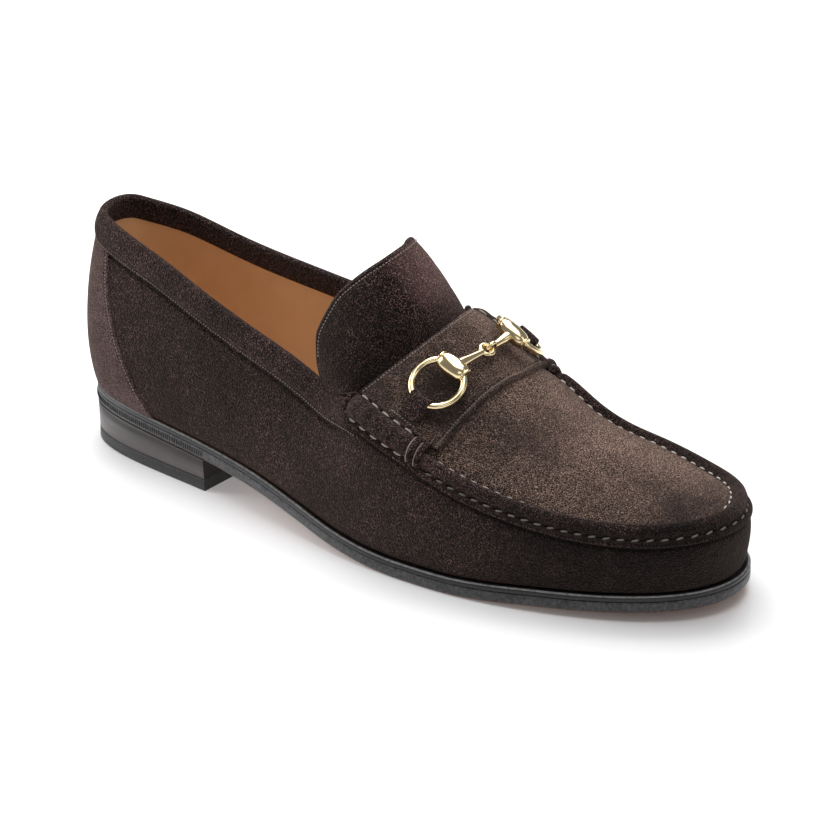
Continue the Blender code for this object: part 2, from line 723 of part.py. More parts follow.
def tongue_grid():
    """Tongue's outer face: rows under the saddle, then up to its free edge."""
    across = np.linspace(-1, 1, 17)
    width = across * TONGUE_REACH
    away = np.abs(across)
    back = smooth_table(TONGUE_EDGE, 1)(away) * TONGUE_LENGTH
    rise = smooth_table(TONGUE_EDGE, 2)(away) * TONGUE_LENGTH
    inward = smooth_table(TONGUE_EDGE, 3)(away) * TONGUE_LENGTH
    rear = instep_point(SADDLE_REAR - TONGUE_BEND, width)
    edge = rear + np.stack([-back, -np.sign(across) * inward, rise], axis=-1)
    rows = [instep_point(THROAT - TONGUE_CLEARANCE, width), rear]
    swell = np.stack([1 - 0.5 * away, 0.9 * across, np.full(len(across), 0.5)], axis=-1)
    swell = TONGUE_BULGE * swell / np.linalg.norm(swell, axis=-1, keepdims=True)
    for share in (0.2, 0.45, 0.7, 1.0):
        rows.append(rear + (edge - rear) * share + swell * 4 * share * (1 - share))
    return np.stack(rows)


def build_tongue():
    grid = tongue_grid()
    normal = grid_normals(grid, np.array([0.6, 0.0, 0.8]))
    sheet_solid("tongue", grid - normal * TONGUE_THICKNESS, grid, SUEDE_WARM)


def roll_sections(medial):
    """Closed sections of a side roll, which lies over the top edge of the wall."""
    sections = []
    for share in np.linspace(0, 1, 9):
        x = ROLL_START + (ROLL_END - ROLL_START) * share
        full = float(roll_fullness(share))
        turn = top_turn(x, medial)
        end = 1.0 if medial else -1.0
        chord = top_point(1 - turn) - top_point(turn)
        per_metre = 2 / np.linalg.norm(chord)
        top = top_point(np.array([turn]))[0]
        wall = [wall_point([turn], ROLL_OUTER * share)[0] for share in (1.0, 0.5)]
        plug = [instep_point(x, end * (1 - ROLL_INNER * share * per_metre)) for share in (0.5, 1.0)]
        line = np.array(wall + [top] + plug)
        out = line[0] - line[-1]
        along = np.cross(out, np.array([0, 0, 1.0]))
        lift = np.cross(along, out)
        lift = lift / np.linalg.norm(lift)
        lift = lift if lift[2] > 0 else -lift
        bottom = line + lift * ROLL_CLEARANCE
        angles = np.linspace(0, math.pi, 8)[1:-1]
        middle = (bottom[0] + bottom[-1]) / 2
        half = (bottom[0] - bottom[-1]) / 2
        crest = float(((top - middle) * lift).sum())
        height = crest + ROLL_HEIGHT * full
        arch = [
            middle + half * math.cos(angle) + lift * height * math.sin(angle) ** ROLL_ROUNDNESS
            for angle in angles
        ]
        sections.append(np.array(list(bottom[::-1]) + arch))
    return sections


def build_side_roll(name, medial):
    sections = roll_sections(medial)
    count = len(sections[0])
    points = np.concatenate(sections)
    faces = [tuple(range(count)), tuple(range(len(points) - count, len(points)))[::-1]]
    for s in range(len(sections) - 1):
        for i in range(count):
            j = (i + 1) % count
            faces.append((s * count + i, s * count + j, (s + 1) * count + j, (s + 1) * count + i))
    add_solid(name, points, faces, SUEDE, sharp=60)


def saddle_frame(x, across, lift):
    """Point at a height over the saddle, and the saddle's normal there."""
    base = Vector(instep_point(x, across))
    normal = Vector(instep_normal(x, across))
    point = base + normal * (FIT_GAP + SADDLE_THICKNESS + lift)
    return point, normal


def bit_frames():
    """Place and axes of each ring, and of the link between the two halves."""
    link, link_normal = saddle_frame(LINK_PLACE, LINK_REACH, LINK_LIFT)
    frames = []
    for side, lift in zip((-1, 1), RING_LIFT):
        centre, normal = saddle_frame(RING_PLACE, side * RING_REACH, lift)
        inward = link - centre
        inward = (inward - normal * inward.dot(normal)).normalized()
        fore = normal.cross(inward)
        turn = Matrix.Rotation(RING_TILT, 3, fore)
        tilted = inward.copy()
        tilted.rotate(turn)
        if (centre + tilted).z < (centre + inward).z:
            turn = Matrix.Rotation(-RING_TILT, 3, fore)
            tilted = inward.copy()
            tilted.rotate(turn)
        normal.rotate(turn)
        frames.append((centre, tilted, normal.cross(tilted), normal))
    return frames, link, link_normal


def tube(name, centres, radii, seed, squash=1.0):
    """Closed round body through a row of centres, squashed across the seed direction."""
    sides = 12
    rings = []
    axis = (centres[-1] - centres[0]).normalized()
    across = (seed - axis * seed.dot(axis)).normalized()
    up = axis.cross(across)
    for centre, radius in zip(centres, radii):
        ring = []
        for k in range(sides):
            angle = 2 * math.pi * (k + 0.3) / sides
            ring.append(centre + across * radius * math.cos(angle) + up * radius * squash * math.sin(angle))
        rings.append(np.array([tuple(p) for p in ring]))
    faces = [tuple(range(sides)), tuple(range(sides * (len(rings) - 1), sides * len(rings)))[::-1]]
    for r in range(len(rings) - 1):
        for i in range(sides):
            j = (i + 1) % sides
            faces.append((r * sides + i, r * sides + j, (r + 1) * sides + j, (r + 1) * sides + i))
    return add_solid(name, np.concatenate(rings), faces, GOLD, sharp=50)


def torus(name, centre, first, second, radius, wire, around):
    """Ring in the plane of two unit directions."""
    normal = first.cross(second)
    sides = 8
    rings = []
    for a in range(around):
        angle = 2 * math.pi * a / around
        out = first * math.cos(angle) + second * math.sin(angle)
        ring = []
        for k in range(sides):
            turn = 2 * math.pi * k / sides
            point = centre + out * (radius + wire * math.cos(turn)) + normal * wire * math.sin(turn)
            ring.append(tuple(point))
        rings.append(np.array(ring))
    return hoop(name, rings, GOLD)


def join_to(body, pieces):
    """Fuse guide pieces to a body by Boolean union."""
    for piece in pieces:
        piece.hide_render = True
        piece.display_type = "WIRE"
        union = body.modifiers.new("with_" + piece.name, "BOOLEAN")
        union.operation = "UNION"
        union.solver = "EXACT"
        union.object = piece


def build_bit():
    """Two cast halves: ring, ferrule, tapered bar and eye. The eyes are linked."""
    frames, link, link_normal = bit_frames()
    for side, (centre, inward, fore, normal) in zip(("lateral", "medial"), frames):
        hook = side == "medial"
        ring = torus("bit_half_" + side, centre, inward, fore, RING_RADIUS, RING_WIRE, 28)
        middle = centre + inward * (RING_RADIUS - FERRULE_INSET)
        axis = (link - middle).normalized()
        ends = [middle + fore * (FERRULE_LENGTH / 2) * at for at, _ in FERRULE_SHAPE]
        radii = [FERRULE_RADIUS * full for _, full in FERRULE_SHAPE]
        ferrule = tube("guide_ferrule_" + side, ends, radii, inward, squash=FERRULE_FLATTEN)
        radius = HOOK_RADIUS if hook else EYE_RADIUS
        wire = HOOK_WIRE if hook else EYE_WIRE
        flat = axis.cross(link_normal).normalized()
        upright = flat.cross(axis).normalized()
        eye_centre = link - axis * (EYE_RADIUS if hook else 0.0)
        second = upright if hook else flat
        eye = torus("guide_eye_" + side, eye_centre, axis, second, radius, wire, 16)
        end = eye_centre - axis * (radius + BAR_END_OFFSET * wire)
        run = end - middle
        places = [middle + run * share for share, _ in BAR_TAPER]
        tip = min(BAR_TIP_RADIUS, BAR_TIP_TO_WIRE * wire)
        widths = [tip + (BAR_ROOT_RADIUS - tip) * extra for _, extra in BAR_TAPER]
        bar = tube("guide_bar_" + side, places, widths, normal)
        join_to(ring, [ferrule, bar, eye])


def build_ring_tabs():
    """Folded leather tabs that hold the rings. Each wraps the wire and lies on the saddle."""
    frames, _, _ = bit_frames()
    hole = RING_WIRE + FIT_GAP
    outer = hole + TAB_LEATHER
    for side, (centre, inward, fore, normal) in zip((-1, 1), frames):
        sections = []
        seat, _ = saddle_frame(RING_PLACE, side * TAB_REACH, FIT_GAP + TAB_LEATHER)
        for share in np.linspace(-0.5, 0.5, 7):
            offset = fore * (share * TAB_WIDTH)
            reach = math.sqrt(RING_RADIUS**2 - offset.length_squared)
            wire = centre - inward * reach + offset
            end = seat + fore * (wire - seat).dot(fore)
            along = (end - wire).normalized()
            up = fore.cross(along)
            up = up if up.dot(normal) > 0 else -up
            angles = [math.radians(degree) for degree in (90, 112, 135, 158, 180, 202, 225, 248, 270)]
            loop = [wire + along * outer * math.cos(a) + up * outer * math.sin(a) for a in angles]
            loop += [end - up * TAB_LEATHER, end + up * TAB_LEATHER]
            around = angles + [math.radians(330), math.radians(390)]
            bore = [wire + along * hole * math.cos(a) + up * hole * math.sin(a) for a in around]
            sections.append((np.array([tuple(p) for p in loop]), np.array([tuple(p) for p in bore])))
        add_tab("ring_tab_lateral" if side < 0 else "ring_tab_medial", sections)


def add_tab(name, sections):
    """Strip with a bore through its width: profiles and bores of the same number of points."""
    count = len(sections[0][0])
    points = np.concatenate([np.concatenate([profile, bore]) for profile, bore in sections])
    stride = 2 * count
    faces = []
    for s in range(len(sections) - 1):
        for i in range(count):
            j = (i + 1) % count
            a = s * stride
            b = a + stride
            faces.append((a + i, a + j, b + j, b + i))
            faces.append((a + count + i, b + count + i, b + count + j, a + count + j))
    for start in (0, stride * (len(sections) - 1)):
        for i in range(count):
            j = (i + 1) % count
            faces.append((start + i, start + j, start + count + j, start + count + i))
    add_solid(name, points, faces, SUEDE)


def centre_on_floor():
    """Move the model so that the origin is the centre of its footprint on the floor."""
    solids = [item for item in bpy.data.objects if not item.hide_render]
    corners = np.array([tuple(v.co) for item in solids for v in item.data.vertices])
    middle = (corners.min(axis=0) + corners.max(axis=0)) / 2
    for item in bpy.data.objects:
        item.location = (-middle[0], -middle[1], 0.0)


def build_shoe():
    clear_scene()
    turns = stations()
    build_outsole(turns)
    build_welt(turns)
    build_heel()
    build_insole(turns)
    build_upper(turns)
    build_collar_band(turns)
    build_heel_counter()
    build_saddle()
    build_tongue()
    build_side_roll("side_roll_lateral", False)
    build_side_roll("side_roll_medial", True)
    build_bit()
    build_ring_tabs()
    centre_on_floor()


build_shoe()
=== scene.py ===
import math

import bpy
import numpy as np
from mathutils import Matrix, Vector, noise


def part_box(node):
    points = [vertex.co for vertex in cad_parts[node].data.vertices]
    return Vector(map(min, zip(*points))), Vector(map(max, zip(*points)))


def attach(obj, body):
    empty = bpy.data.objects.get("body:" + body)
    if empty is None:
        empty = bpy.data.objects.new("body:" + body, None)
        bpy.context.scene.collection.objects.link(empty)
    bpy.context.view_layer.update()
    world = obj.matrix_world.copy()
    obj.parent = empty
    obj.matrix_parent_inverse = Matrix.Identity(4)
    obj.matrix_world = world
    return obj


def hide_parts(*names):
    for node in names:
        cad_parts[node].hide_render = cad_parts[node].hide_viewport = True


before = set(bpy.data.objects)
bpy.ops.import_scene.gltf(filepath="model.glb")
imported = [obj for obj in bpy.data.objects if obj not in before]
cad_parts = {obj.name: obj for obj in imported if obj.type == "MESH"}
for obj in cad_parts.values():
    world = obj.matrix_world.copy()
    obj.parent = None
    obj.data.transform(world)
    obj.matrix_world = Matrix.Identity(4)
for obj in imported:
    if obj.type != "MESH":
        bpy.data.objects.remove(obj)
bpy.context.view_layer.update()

# Driving sizes of the last and the sole, as in the CAD
SOLE_LENGTH = 0.300
BALL_WIDTH = 0.102
HEEL_HEIGHT = 0.0158
TOE_SPRING = 0.0050
UPPER_HEIGHT = 0.0708
INSTEP_CROWN = 0.0158
INSTEP_BOW = 0.0160
OUTSOLE_THICKNESS = 0.0045
WELT_THICKNESS = 0.0023
HEEL_BREAST = 0.074
HEEL_TAPER = 0.0008
TOP_LIFT_THICKNESS = 0.0048
FEATHER_LEDGE = 0.0022
WALL = 0.0019
FIT_GAP = 0.0003
THROAT = 0.1545
BAND_WIDTH = 0.0120
BAND_END = 0.1500
RIDGE_START = 0.1860
RIDGE_FADE = 0.0060
SADDLE_REAR = 0.1490
SADDLE_FRONT_LATERAL = 0.1935
SADDLE_FRONT_MEDIAL = 0.1850
SADDLE_FRONT_CORNER = 0.2
SADDLE_REACH = 0.91
SADDLE_THICKNESS = 0.0018
TONGUE_LENGTH = 0.0347
TONGUE_THICKNESS = 0.0022
TONGUE_REACH = 0.95
TONGUE_CLEARANCE = 0.0008
TONGUE_BEND = 0.0014
TONGUE_BULGE = 0.0026
ROLL_START = 0.1500
ROLL_END = 0.1875
ROLL_OUTER = 0.0062
ROLL_INNER = 0.0028
ROLL_HEIGHT = 0.0048
ROLL_LENGTH = ROLL_END - ROLL_START
RING_RADIUS = 0.01015
RING_WIRE = 0.00135
RING_PLACE = 0.1735
RING_REACH = 0.54
RING_LIFT = (0.0041, 0.0050)
RING_TILT = math.radians(8)
FERRULE_LENGTH = 0.0135
FERRULE_RADIUS = 0.0041
FERRULE_INSET = 0.0014
FERRULE_FLATTEN = 0.86
BAR_ROOT_RADIUS = 0.0023
BAR_TIP_RADIUS = 0.0013
LINK_PLACE = 0.1730
LINK_REACH = 0.04
LINK_LIFT = 0.0031
EYE_RADIUS = 0.00255
EYE_WIRE = 0.00095
HOOK_RADIUS = 0.00220
HOOK_WIRE = 0.00080
TAB_WIDTH = 0.0090
TAB_LEATHER = 0.0009
TAB_REACH = 0.87

# Finer shapes that only the looks have
APRON_PITCH = 0.0053
APRON_DASH = 0.0031
PINCH_DEPTH = 0.0012
BAND_TURN_IN = 0.0085
BAND_TAIL = 0.0065
COUNTER_SWELL = 0.0009
FINE_PITCH = 0.0014
FINE_THREAD = 0.00017
HAND_THREAD = 0.00045
ROLL_PITCH = 0.0061
WHEEL_PITCH = 0.00125
WHEEL_LEVEL = 0.0026
WHEEL_LENGTH = 0.0024
THREAD_LIFT = 0.0001
PINCH_DEPTH_UNDER_SEAM = 0.0056
APRON_STITCH_DEPTH = 0.0060
COLLAR_SEAM = 0.0112
COUNTER_SEAM = 0.0019
SADDLE_FRONT_SEAM = 0.0023
SADDLE_REAR_SEAM = 0.0016
TONGUE_SEAM = 0.0014
CINCH_RADIUS = 0.0013
UP = np.array([0.0, 0.0, 1.0])

# Sole outline: share of the length, share of the ball width (lateral side negative)
OUTLINE_LATERAL = (
    (0.000, -0.021), (0.022, -0.206), (0.075, -0.298), (0.160, -0.345), (0.280, -0.388),
    (0.400, -0.449), (0.520, -0.521), (0.620, -0.539), (0.710, -0.522), (0.800, -0.459),
    (0.880, -0.368), (0.945, -0.252), (0.985, -0.123), (1.000, 0.033),
)
OUTLINE_MEDIAL = (
    (0.985, 0.194), (0.940, 0.330), (0.870, 0.418), (0.780, 0.461), (0.690, 0.460),
    (0.600, 0.405), (0.500, 0.320), (0.400, 0.275), (0.280, 0.288), (0.160, 0.311),
    (0.075, 0.276), (0.022, 0.173),
)

# Underside of the outsole: share of the length, share of the heel height, share of the toe spring
UNDERSIDE = (
    (0.00, 1.05, 0.00), (0.10, 1.00, 0.00), (0.24, 0.86, 0.00), (0.33, 0.69, 0.00),
    (0.42, 0.41, 0.00), (0.50, 0.15, 0.00), (0.57, 0.02, 0.00), (0.60, 0.00, 0.00),
    (0.67, 0.00, 0.00), (0.73, 0.00, 0.14), (0.80, 0.00, 0.42), (0.88, 0.00, 0.62),
    (0.95, 0.00, 0.82), (1.00, 0.00, 1.00),
)

# Topline and apron seam: share of the length, share of the ball width, rise over the welt as a share
# of the upper's height
TOP_LATERAL = (
    (0.0010, -0.020, 0.988), (0.0080, -0.104, 0.978), (0.0270, -0.143, 0.962),
    (0.0733, -0.184, 0.932), (0.1500, -0.230, 0.883), (0.2333, -0.272, 0.814),
    (0.3267, -0.299, 0.747), (0.4133, -0.324, 0.706), (0.4600, -0.350, 0.690),
    (0.5000, -0.387, 0.715), (0.5500, -0.424, 0.699), (0.6000, -0.441, 0.657),
    (0.6500, -0.443, 0.590), (0.7000, -0.436, 0.530), (0.8000, -0.385, 0.429),
    (0.8800, -0.300, 0.383), (0.9400, -0.191, 0.373), (0.9700, -0.088, 0.379),
    (0.9827, 0.031, 0.384),
)
TOP_MEDIAL = (
    (0.9700, 0.143, 0.381), (0.9400, 0.246, 0.373), (0.8800, 0.322, 0.383),
    (0.8000, 0.355, 0.431), (0.7000, 0.351, 0.548), (0.6500, 0.363, 0.645),
    (0.6000, 0.373, 0.700), (0.5500, 0.363, 0.795), (0.5000, 0.338, 0.872),
    (0.4600, 0.314, 0.845), (0.4133, 0.299, 0.800), (0.3267, 0.279, 0.771),
    (0.2333, 0.265, 0.774), (0.1500, 0.238, 0.814), (0.0733, 0.186, 0.900),
    (0.0270, 0.120, 0.952), (0.0080, 0.070, 0.980),
)

# Wall of the upper: share of the length, low bulge and high bulge as shares of the ball width, and
# how far the high bulge sits under the topline as a share of the wall's height
WALL_LATERAL = (
    (0.00, 0.074, 0.049, 0.33), (0.10, 0.064, 0.039, 0.33), (0.30, 0.049, 0.029, 0.33),
    (0.42, 0.049, 0.039, 0.30), (0.50, 0.044, 0.055, 0.20), (0.60, 0.034, 0.068, 0.12),
    (0.75, 0.025, 0.068, 0.10), (0.90, 0.025, 0.074, 0.08), (1.00, 0.025, 0.086, 0.08),
)
WALL_MEDIAL = (
    (0.90, 0.025, 0.076, 0.08), (0.75, 0.029, 0.068, 0.10), (0.60, 0.044, 0.068, 0.12),
    (0.50, 0.064, 0.064, 0.20), (0.42, 0.078, 0.059, 0.30), (0.30, 0.078, 0.049, 0.33),
    (0.10, 0.064, 0.039, 0.33),
)
LOW_BULGE_RISE = 0.38

# Ledge of the welt: share of the length, share of the feather ledge
LEDGE = ((0.0, 0.40), (0.25, 0.45), (0.5, 0.85), (0.7, 1.0), (1.0, 1.0))

# Plug over the instep: share of the length, share of the crown, share of the forward bow
PLUG = (
    (0.49, 0.94, 1.03), (0.515, 0.96, 0.94), (0.55, 0.98, 0.78), (0.60, 1.00, 0.50),
    (0.65, 0.99, 0.22), (0.70, 0.86, 0.06), (0.76, 0.71, 0.00), (0.80, 0.63, 0.00),
    (0.88, 0.45, 0.00), (0.94, 0.28, 0.00), (0.9827, 0.00, 0.00),
)

# Counter's front edge: share of the wall under the band, share of a turn round the heel
COUNTER_EDGE = ((0.0, 0.128), (0.25, 0.112), (0.50, 0.094), (0.75, 0.078), (1.0, 0.067))

# Tongue's free edge by distance from its middle: share of its half width, then how far the edge lies
# behind and above the saddle's rear edge, and inward, as shares of the tongue's length
TONGUE_EDGE = (
    (0.00, 0.50, 0.88, 0.00), (0.25, 0.55, 0.85, 0.00), (0.50, 0.69, 0.75, 0.00),
    (0.70, 0.78, 0.61, 0.02), (0.85, 0.78, 0.42, 0.04), (0.95, 0.66, 0.16, 0.04),
    (1.00, 0.46, -0.12, 0.02),
)

# Apron ridge across its width: distance under the seam, height over the wall
RIDGE = (
    (0.0000, 0.0010), (0.0006, 0.0023), (0.0016, 0.0030), (0.0028, 0.0028), (0.0042, 0.0021),
    (0.0051, 0.0012), (0.0058, 0.0003), (0.0063, 0.0000), (0.0066, 0.0000),
)

# Flange left standing under the ridge and under the side rolls
FLANGE = (
    (0.0058, 0.0000), (0.0062, 0.0002), (0.0068, 0.0011), (0.0078, 0.0016), (0.0084, 0.0015),
    (0.0086, 0.0004), (0.0089, -0.0004), (0.0095, -0.0004), (0.0104, 0.0000), (0.0108, 0.0000),
)

# Collar band across its width: distance under the top edge, height over the wall
BAND = (
    (0.0016, 0.00140), (0.0040, 0.00185), (0.0070, 0.00195), (0.0093, 0.00165), (0.0106, 0.00100),
    (0.0112, 0.00075), (0.0117, 0.00095), (0.0120, 0.00070), (0.0123, -0.0001),
)

# Ferrule from end to end: share of half its length, share of its radius
FERRULE_PROFILE = (
    (-1.00, 0.50), (-1.00, 0.70), (-0.965, 0.76), (-0.92, 0.77), (-0.885, 0.73), (-0.87, 0.70),
    (-0.80, 0.80), (-0.60, 0.93), (-0.30, 0.99), (0.0, 1.0), (0.30, 0.99), (0.60, 0.93), (0.80, 0.80),
    (0.87, 0.70), (0.885, 0.73), (0.92, 0.77), (0.965, 0.76), (1.00, 0.70), (1.00, 0.50),
)

# Bar from the ferrule to the eye: share of its length, share of what its root is thicker than its tip
BAR_PROFILE = (
    (0.0, 1.0), (0.12, 1.0), (0.30, 0.92), (0.42, 0.70), (0.55, 0.45), (0.70, 0.22), (0.85, 0.06),
    (1.0, 0.0),
)

# Plug's nap brushed lighter (positive) or darker, with painted highlight and shade in the same patches: x, y,
# half length, half width, strength
NAP_AND_PAINTED_LIGHT_PATCHES = (
    (0.240, 0.010, 0.032, 0.020, 0.36), (0.262, 0.022, 0.018, 0.014, 0.10),
    (0.212, 0.020, 0.024, 0.012, 0.26), (0.222, -0.012, 0.016, 0.012, -0.10),
    (0.262, -0.004, 0.010, 0.008, -0.16), (0.196, -0.020, 0.012, 0.014, -0.06),
    (0.280, 0.006, 0.014, 0.026, -0.40),
)


# Shape of the shoe

def hermite(u, step, start, end, start_slope, end_slope):
    a = 2 * u**3 - 3 * u**2 + 1
    b = u**3 - 2 * u**2 + u
    c = 3 * u**2 - 2 * u**3
    d = u**3 - u**2
    return a * start + b * step * start_slope + c * end + d * step * end_slope


def smooth_step(value):
    value = np.clip(value, 0, 1)
    return value * value * (3 - 2 * value)


def hump(value, middle, width):
    """Bell curve of height 1."""
    return np.exp(-((value - middle) / width) ** 2)


def unit(vectors):
    return vectors / np.linalg.norm(vectors, axis=-1, keepdims=True)


def run_along(points, axis=0):
    """Distance from the start of a path, or along one axis of a grid of points."""
    step = np.linalg.norm(np.diff(points, axis=axis), axis=-1)
    return np.insert(np.cumsum(step, axis=axis), 0, 0, axis=axis)


def smooth_table(rows, column):
    """Curve through one column of a table that never overshoots its rows."""
    x = np.array([row[0] for row in rows], float)
    y = np.array([row[column] for row in rows], float)
    step = np.diff(x)
    rise = np.diff(y) / step
    slope = np.zeros(len(x))
    for i in range(1, len(x) - 1):
        if rise[i - 1] * rise[i] > 0:
            before = 2 * step[i] + step[i - 1]
            after = step[i] + 2 * step[i - 1]
            slope[i] = (before + after) / (before / rise[i - 1] + after / rise[i])
    slope[0] = rise[0]
    slope[-1] = rise[-1]

    def curve(at):
        at = np.clip(np.asarray(at, float), x[0], x[-1])
        i = np.clip(np.searchsorted(x, at, side="right") - 1, 0, len(step) - 1)
        return hermite((at - x[i]) / step[i], step[i], y[i], y[i + 1], slope[i], slope[i + 1])

    return curve


def turn_of(share, medial):
    """Share of a turn round the shoe, from the heel's back along the lateral side to the toe."""
    turn = math.acos(max(-1.0, min(1.0, 1 - 2 * share))) / (2 * math.pi)
    return 1 - turn if medial else turn


def share_at(turn):
    return (1 - np.cos(2 * np.pi * np.asarray(turn, float))) / 2


def closed_table(lateral, medial, column):
    """Closed smooth curve round the shoe through one column of a lateral and a medial table."""
    back = lateral[0][0]
    tip = lateral[-1][0]
    knots = [turn_of((row[0] - back) / (tip - back), False) for row in lateral]
    knots += [turn_of((row[0] - back) / (tip - back), True) for row in medial]
    values = np.array([row[column] for row in lateral + medial], float)
    knots = np.array(knots)
    count = len(knots)
    step = np.diff(np.append(knots, knots[0] + 1))
    matrix = np.zeros((count, count))
    right = np.zeros(count)
    for i in range(count):
        before = step[i - 1]
        after = step[i]
        following = (i + 1) % count
        matrix[i, i - 1] += 1 / before
        matrix[i, i] += 2 / before + 2 / after
        matrix[i, following] += 1 / after
        right[i] = 3 * (values[i] - values[i - 1]) / before**2
        right[i] += 3 * (values[following] - values[i]) / after**2
    slope = np.linalg.solve(matrix, right)

    def curve(turn):
        turn = np.mod(np.asarray(turn, float), 1.0)
        i = np.clip(np.searchsorted(knots, turn, side="right") - 1, 0, count - 1)
        j = (i + 1) % count
        return hermite((turn - knots[i]) / step[i], step[i], values[i], values[j], slope[i], slope[j])

    return curve


heel_share = smooth_table(UNDERSIDE, 1)
spring_share = smooth_table(UNDERSIDE, 2)
ledge_share = smooth_table(LEDGE, 1)
crown_share = smooth_table(PLUG, 1)
bow_share = smooth_table(PLUG, 2)
ridge_height = smooth_table(RIDGE, 1)
flange_height = smooth_table(FLANGE, 1)
band_height = smooth_table(BAND, 1)
counter_turn = smooth_table(COUNTER_EDGE, 1)
outline_side = closed_table(OUTLINE_LATERAL, OUTLINE_MEDIAL, 1)
top_side = closed_table(TOP_LATERAL, TOP_MEDIAL, 1)
top_rise = closed_table(TOP_LATERAL, TOP_MEDIAL, 2)
low_bulge = closed_table(WALL_LATERAL, WALL_MEDIAL, 1)
high_bulge = closed_table(WALL_LATERAL, WALL_MEDIAL, 2)
high_drop = closed_table(WALL_LATERAL, WALL_MEDIAL, 3)
TOP_BACK = TOP_LATERAL[0][0] * SOLE_LENGTH
TOP_TIP = TOP_LATERAL[-1][0] * SOLE_LENGTH


def underside(x):
    share = np.asarray(x, float) / SOLE_LENGTH
    return HEEL_HEIGHT * heel_share(share) + TOE_SPRING * spring_share(share)


def welt_top(x):
    return underside(x) + OUTSOLE_THICKNESS + FIT_GAP + WELT_THICKNESS


def feather_height(x):
    return welt_top(x) + FIT_GAP


def outline_point(turn):
    return np.stack([SOLE_LENGTH * share_at(turn), BALL_WIDTH * outline_side(turn)], axis=-1)


def outline_normal(turn):
    """Outward direction of the sole's outline in plan."""
    small = 1e-4
    along = outline_point(turn + small) - outline_point(turn - small)
    return unit(np.stack([along[..., 1], -along[..., 0]], axis=-1))


def inset_outline(turn, inset):
    inset = np.asarray(inset, float)
    return outline_point(turn) - outline_normal(turn) * inset[..., None]


def top_turn(x, medial=False):
    return turn_of((x - TOP_BACK) / (TOP_TIP - TOP_BACK), medial)


def top_x(turn):
    return TOP_BACK + (TOP_TIP - TOP_BACK) * share_at(turn)


def top_point(turn):
    """Topline behind the throat, apron seam in front of it."""
    x = top_x(turn)
    height = feather_height(x) + UPPER_HEIGHT * top_rise(turn)
    return np.stack([x, BALL_WIDTH * top_side(turn), height], axis=-1)


def feather_point(turn):
    plan = inset_outline(turn, FEATHER_LEDGE * ledge_share(share_at(turn)))
    return np.concatenate([plan, feather_height(plan[..., 0])[..., None]], axis=-1)


def wall_out(turn):
    """Outward direction of the wall in plan, level."""
    plan = outline_normal(turn)
    return np.concatenate([plan, np.zeros(plan.shape[:-1] + (1,))], axis=-1)


def wall_sides(turns, count):
    """Outward directions of the wall for a grid with count points at each turn."""
    return np.repeat(wall_out(turns)[:, None], count, axis=1)


def wall_curves(turn, samples=161):
    """Wall section at each turn, sampled from the feather edge up to the top edge."""
    foot = feather_point(turn)
    top = top_point(turn)
    out = wall_out(turn)
    height = (top[:, 2] - foot[:, 2])[:, None]
    low = foot + out * (BALL_WIDTH * low_bulge(turn))[:, None] + UP * height * LOW_BULGE_RISE
    high = top + out * (BALL_WIDTH * high_bulge(turn))[:, None] - UP * height * high_drop(turn)[:, None]
    u = np.linspace(0, 1, samples)[None, :, None]
    curve = (1 - u) ** 3 * foot[:, None] + 3 * u * (1 - u) ** 2 * low[:, None]
    return curve + 3 * u**2 * (1 - u) * high[:, None] + u**3 * top[:, None]


def wall_length(turn):
    return run_along(wall_curves(np.atleast_1d(turn)), 1)[:, -1]


def wall_grid(turns, under_top):
    """Points of the wall at distances under its top edge: one row of distances for each turn."""
    curve = wall_curves(turns)
    from_foot = run_along(curve, 1)
    at = from_foot[:, -1:] - under_top
    grid = np.empty(under_top.shape + (3,))
    for i in range(len(turns)):
        for axis in range(3):
            grid[i, :, axis] = np.interp(at[i], from_foot[i], curve[i, :, axis])
    return grid


def instep_point(x, across):
    """Plug and instep: x of the chord's ends, and -1 at the lateral end to 1 at the medial end."""
    x, across = np.broadcast_arrays(np.asarray(x, float), np.asarray(across, float))
    share = np.clip((x - TOP_BACK) / (TOP_TIP - TOP_BACK), 0, 1)
    turn = np.arccos(1 - 2 * share) / (2 * np.pi)
    half = ((across + 1) / 2)[..., None]
    hump = 1 - across**2
    point = top_point(turn) * (1 - half) + top_point(1 - turn) * half
    point[..., 0] += INSTEP_BOW * bow_share(x / SOLE_LENGTH) * hump
    point[..., 2] += INSTEP_CROWN * crown_share(x / SOLE_LENGTH) * hump
    return point


def instep_normal(x, across):
    small = 2e-5
    x = np.asarray(x, float)
    across = np.asarray(across, float)
    du = instep_point(x + small, across) - instep_point(x - small, across)
    dv = instep_point(x, across + small) - instep_point(x, across - small)
    normal = unit(np.cross(du, dv))
    return normal * np.sign(normal[..., 2:])


def grid_normals(grid, outward, wrap=False):
    """Unit normals of a grid of points, on the side that outward points to."""
    if wrap:
        du = np.roll(grid, -1, axis=0) - np.roll(grid, 1, axis=0)
    else:
        du = np.gradient(grid, axis=0)
    normal = unit(np.cross(du, np.gradient(grid, axis=1)))
    return normal * np.sign((normal * outward).sum(axis=-1, keepdims=True))


def undulation(points, size, height, seed=0.0):
    """Soft unevenness of real leather."""
    flat = points.reshape(-1, 3) / size + seed
    values = [noise.noise(Vector(p)) for p in flat]
    return height * np.array(values).reshape(points.shape[:-1])


# Meshes

sole_low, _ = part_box("outsole")
fine_turns = np.arange(720) / 720
SHIFT = np.array([sole_low.x, sole_low.y - outline_point(fine_turns)[:, 1].min(), 0.0])


def add_object(name, data):
    made = bpy.data.objects.new(name, data)
    bpy.context.scene.collection.objects.link(made)
    return made


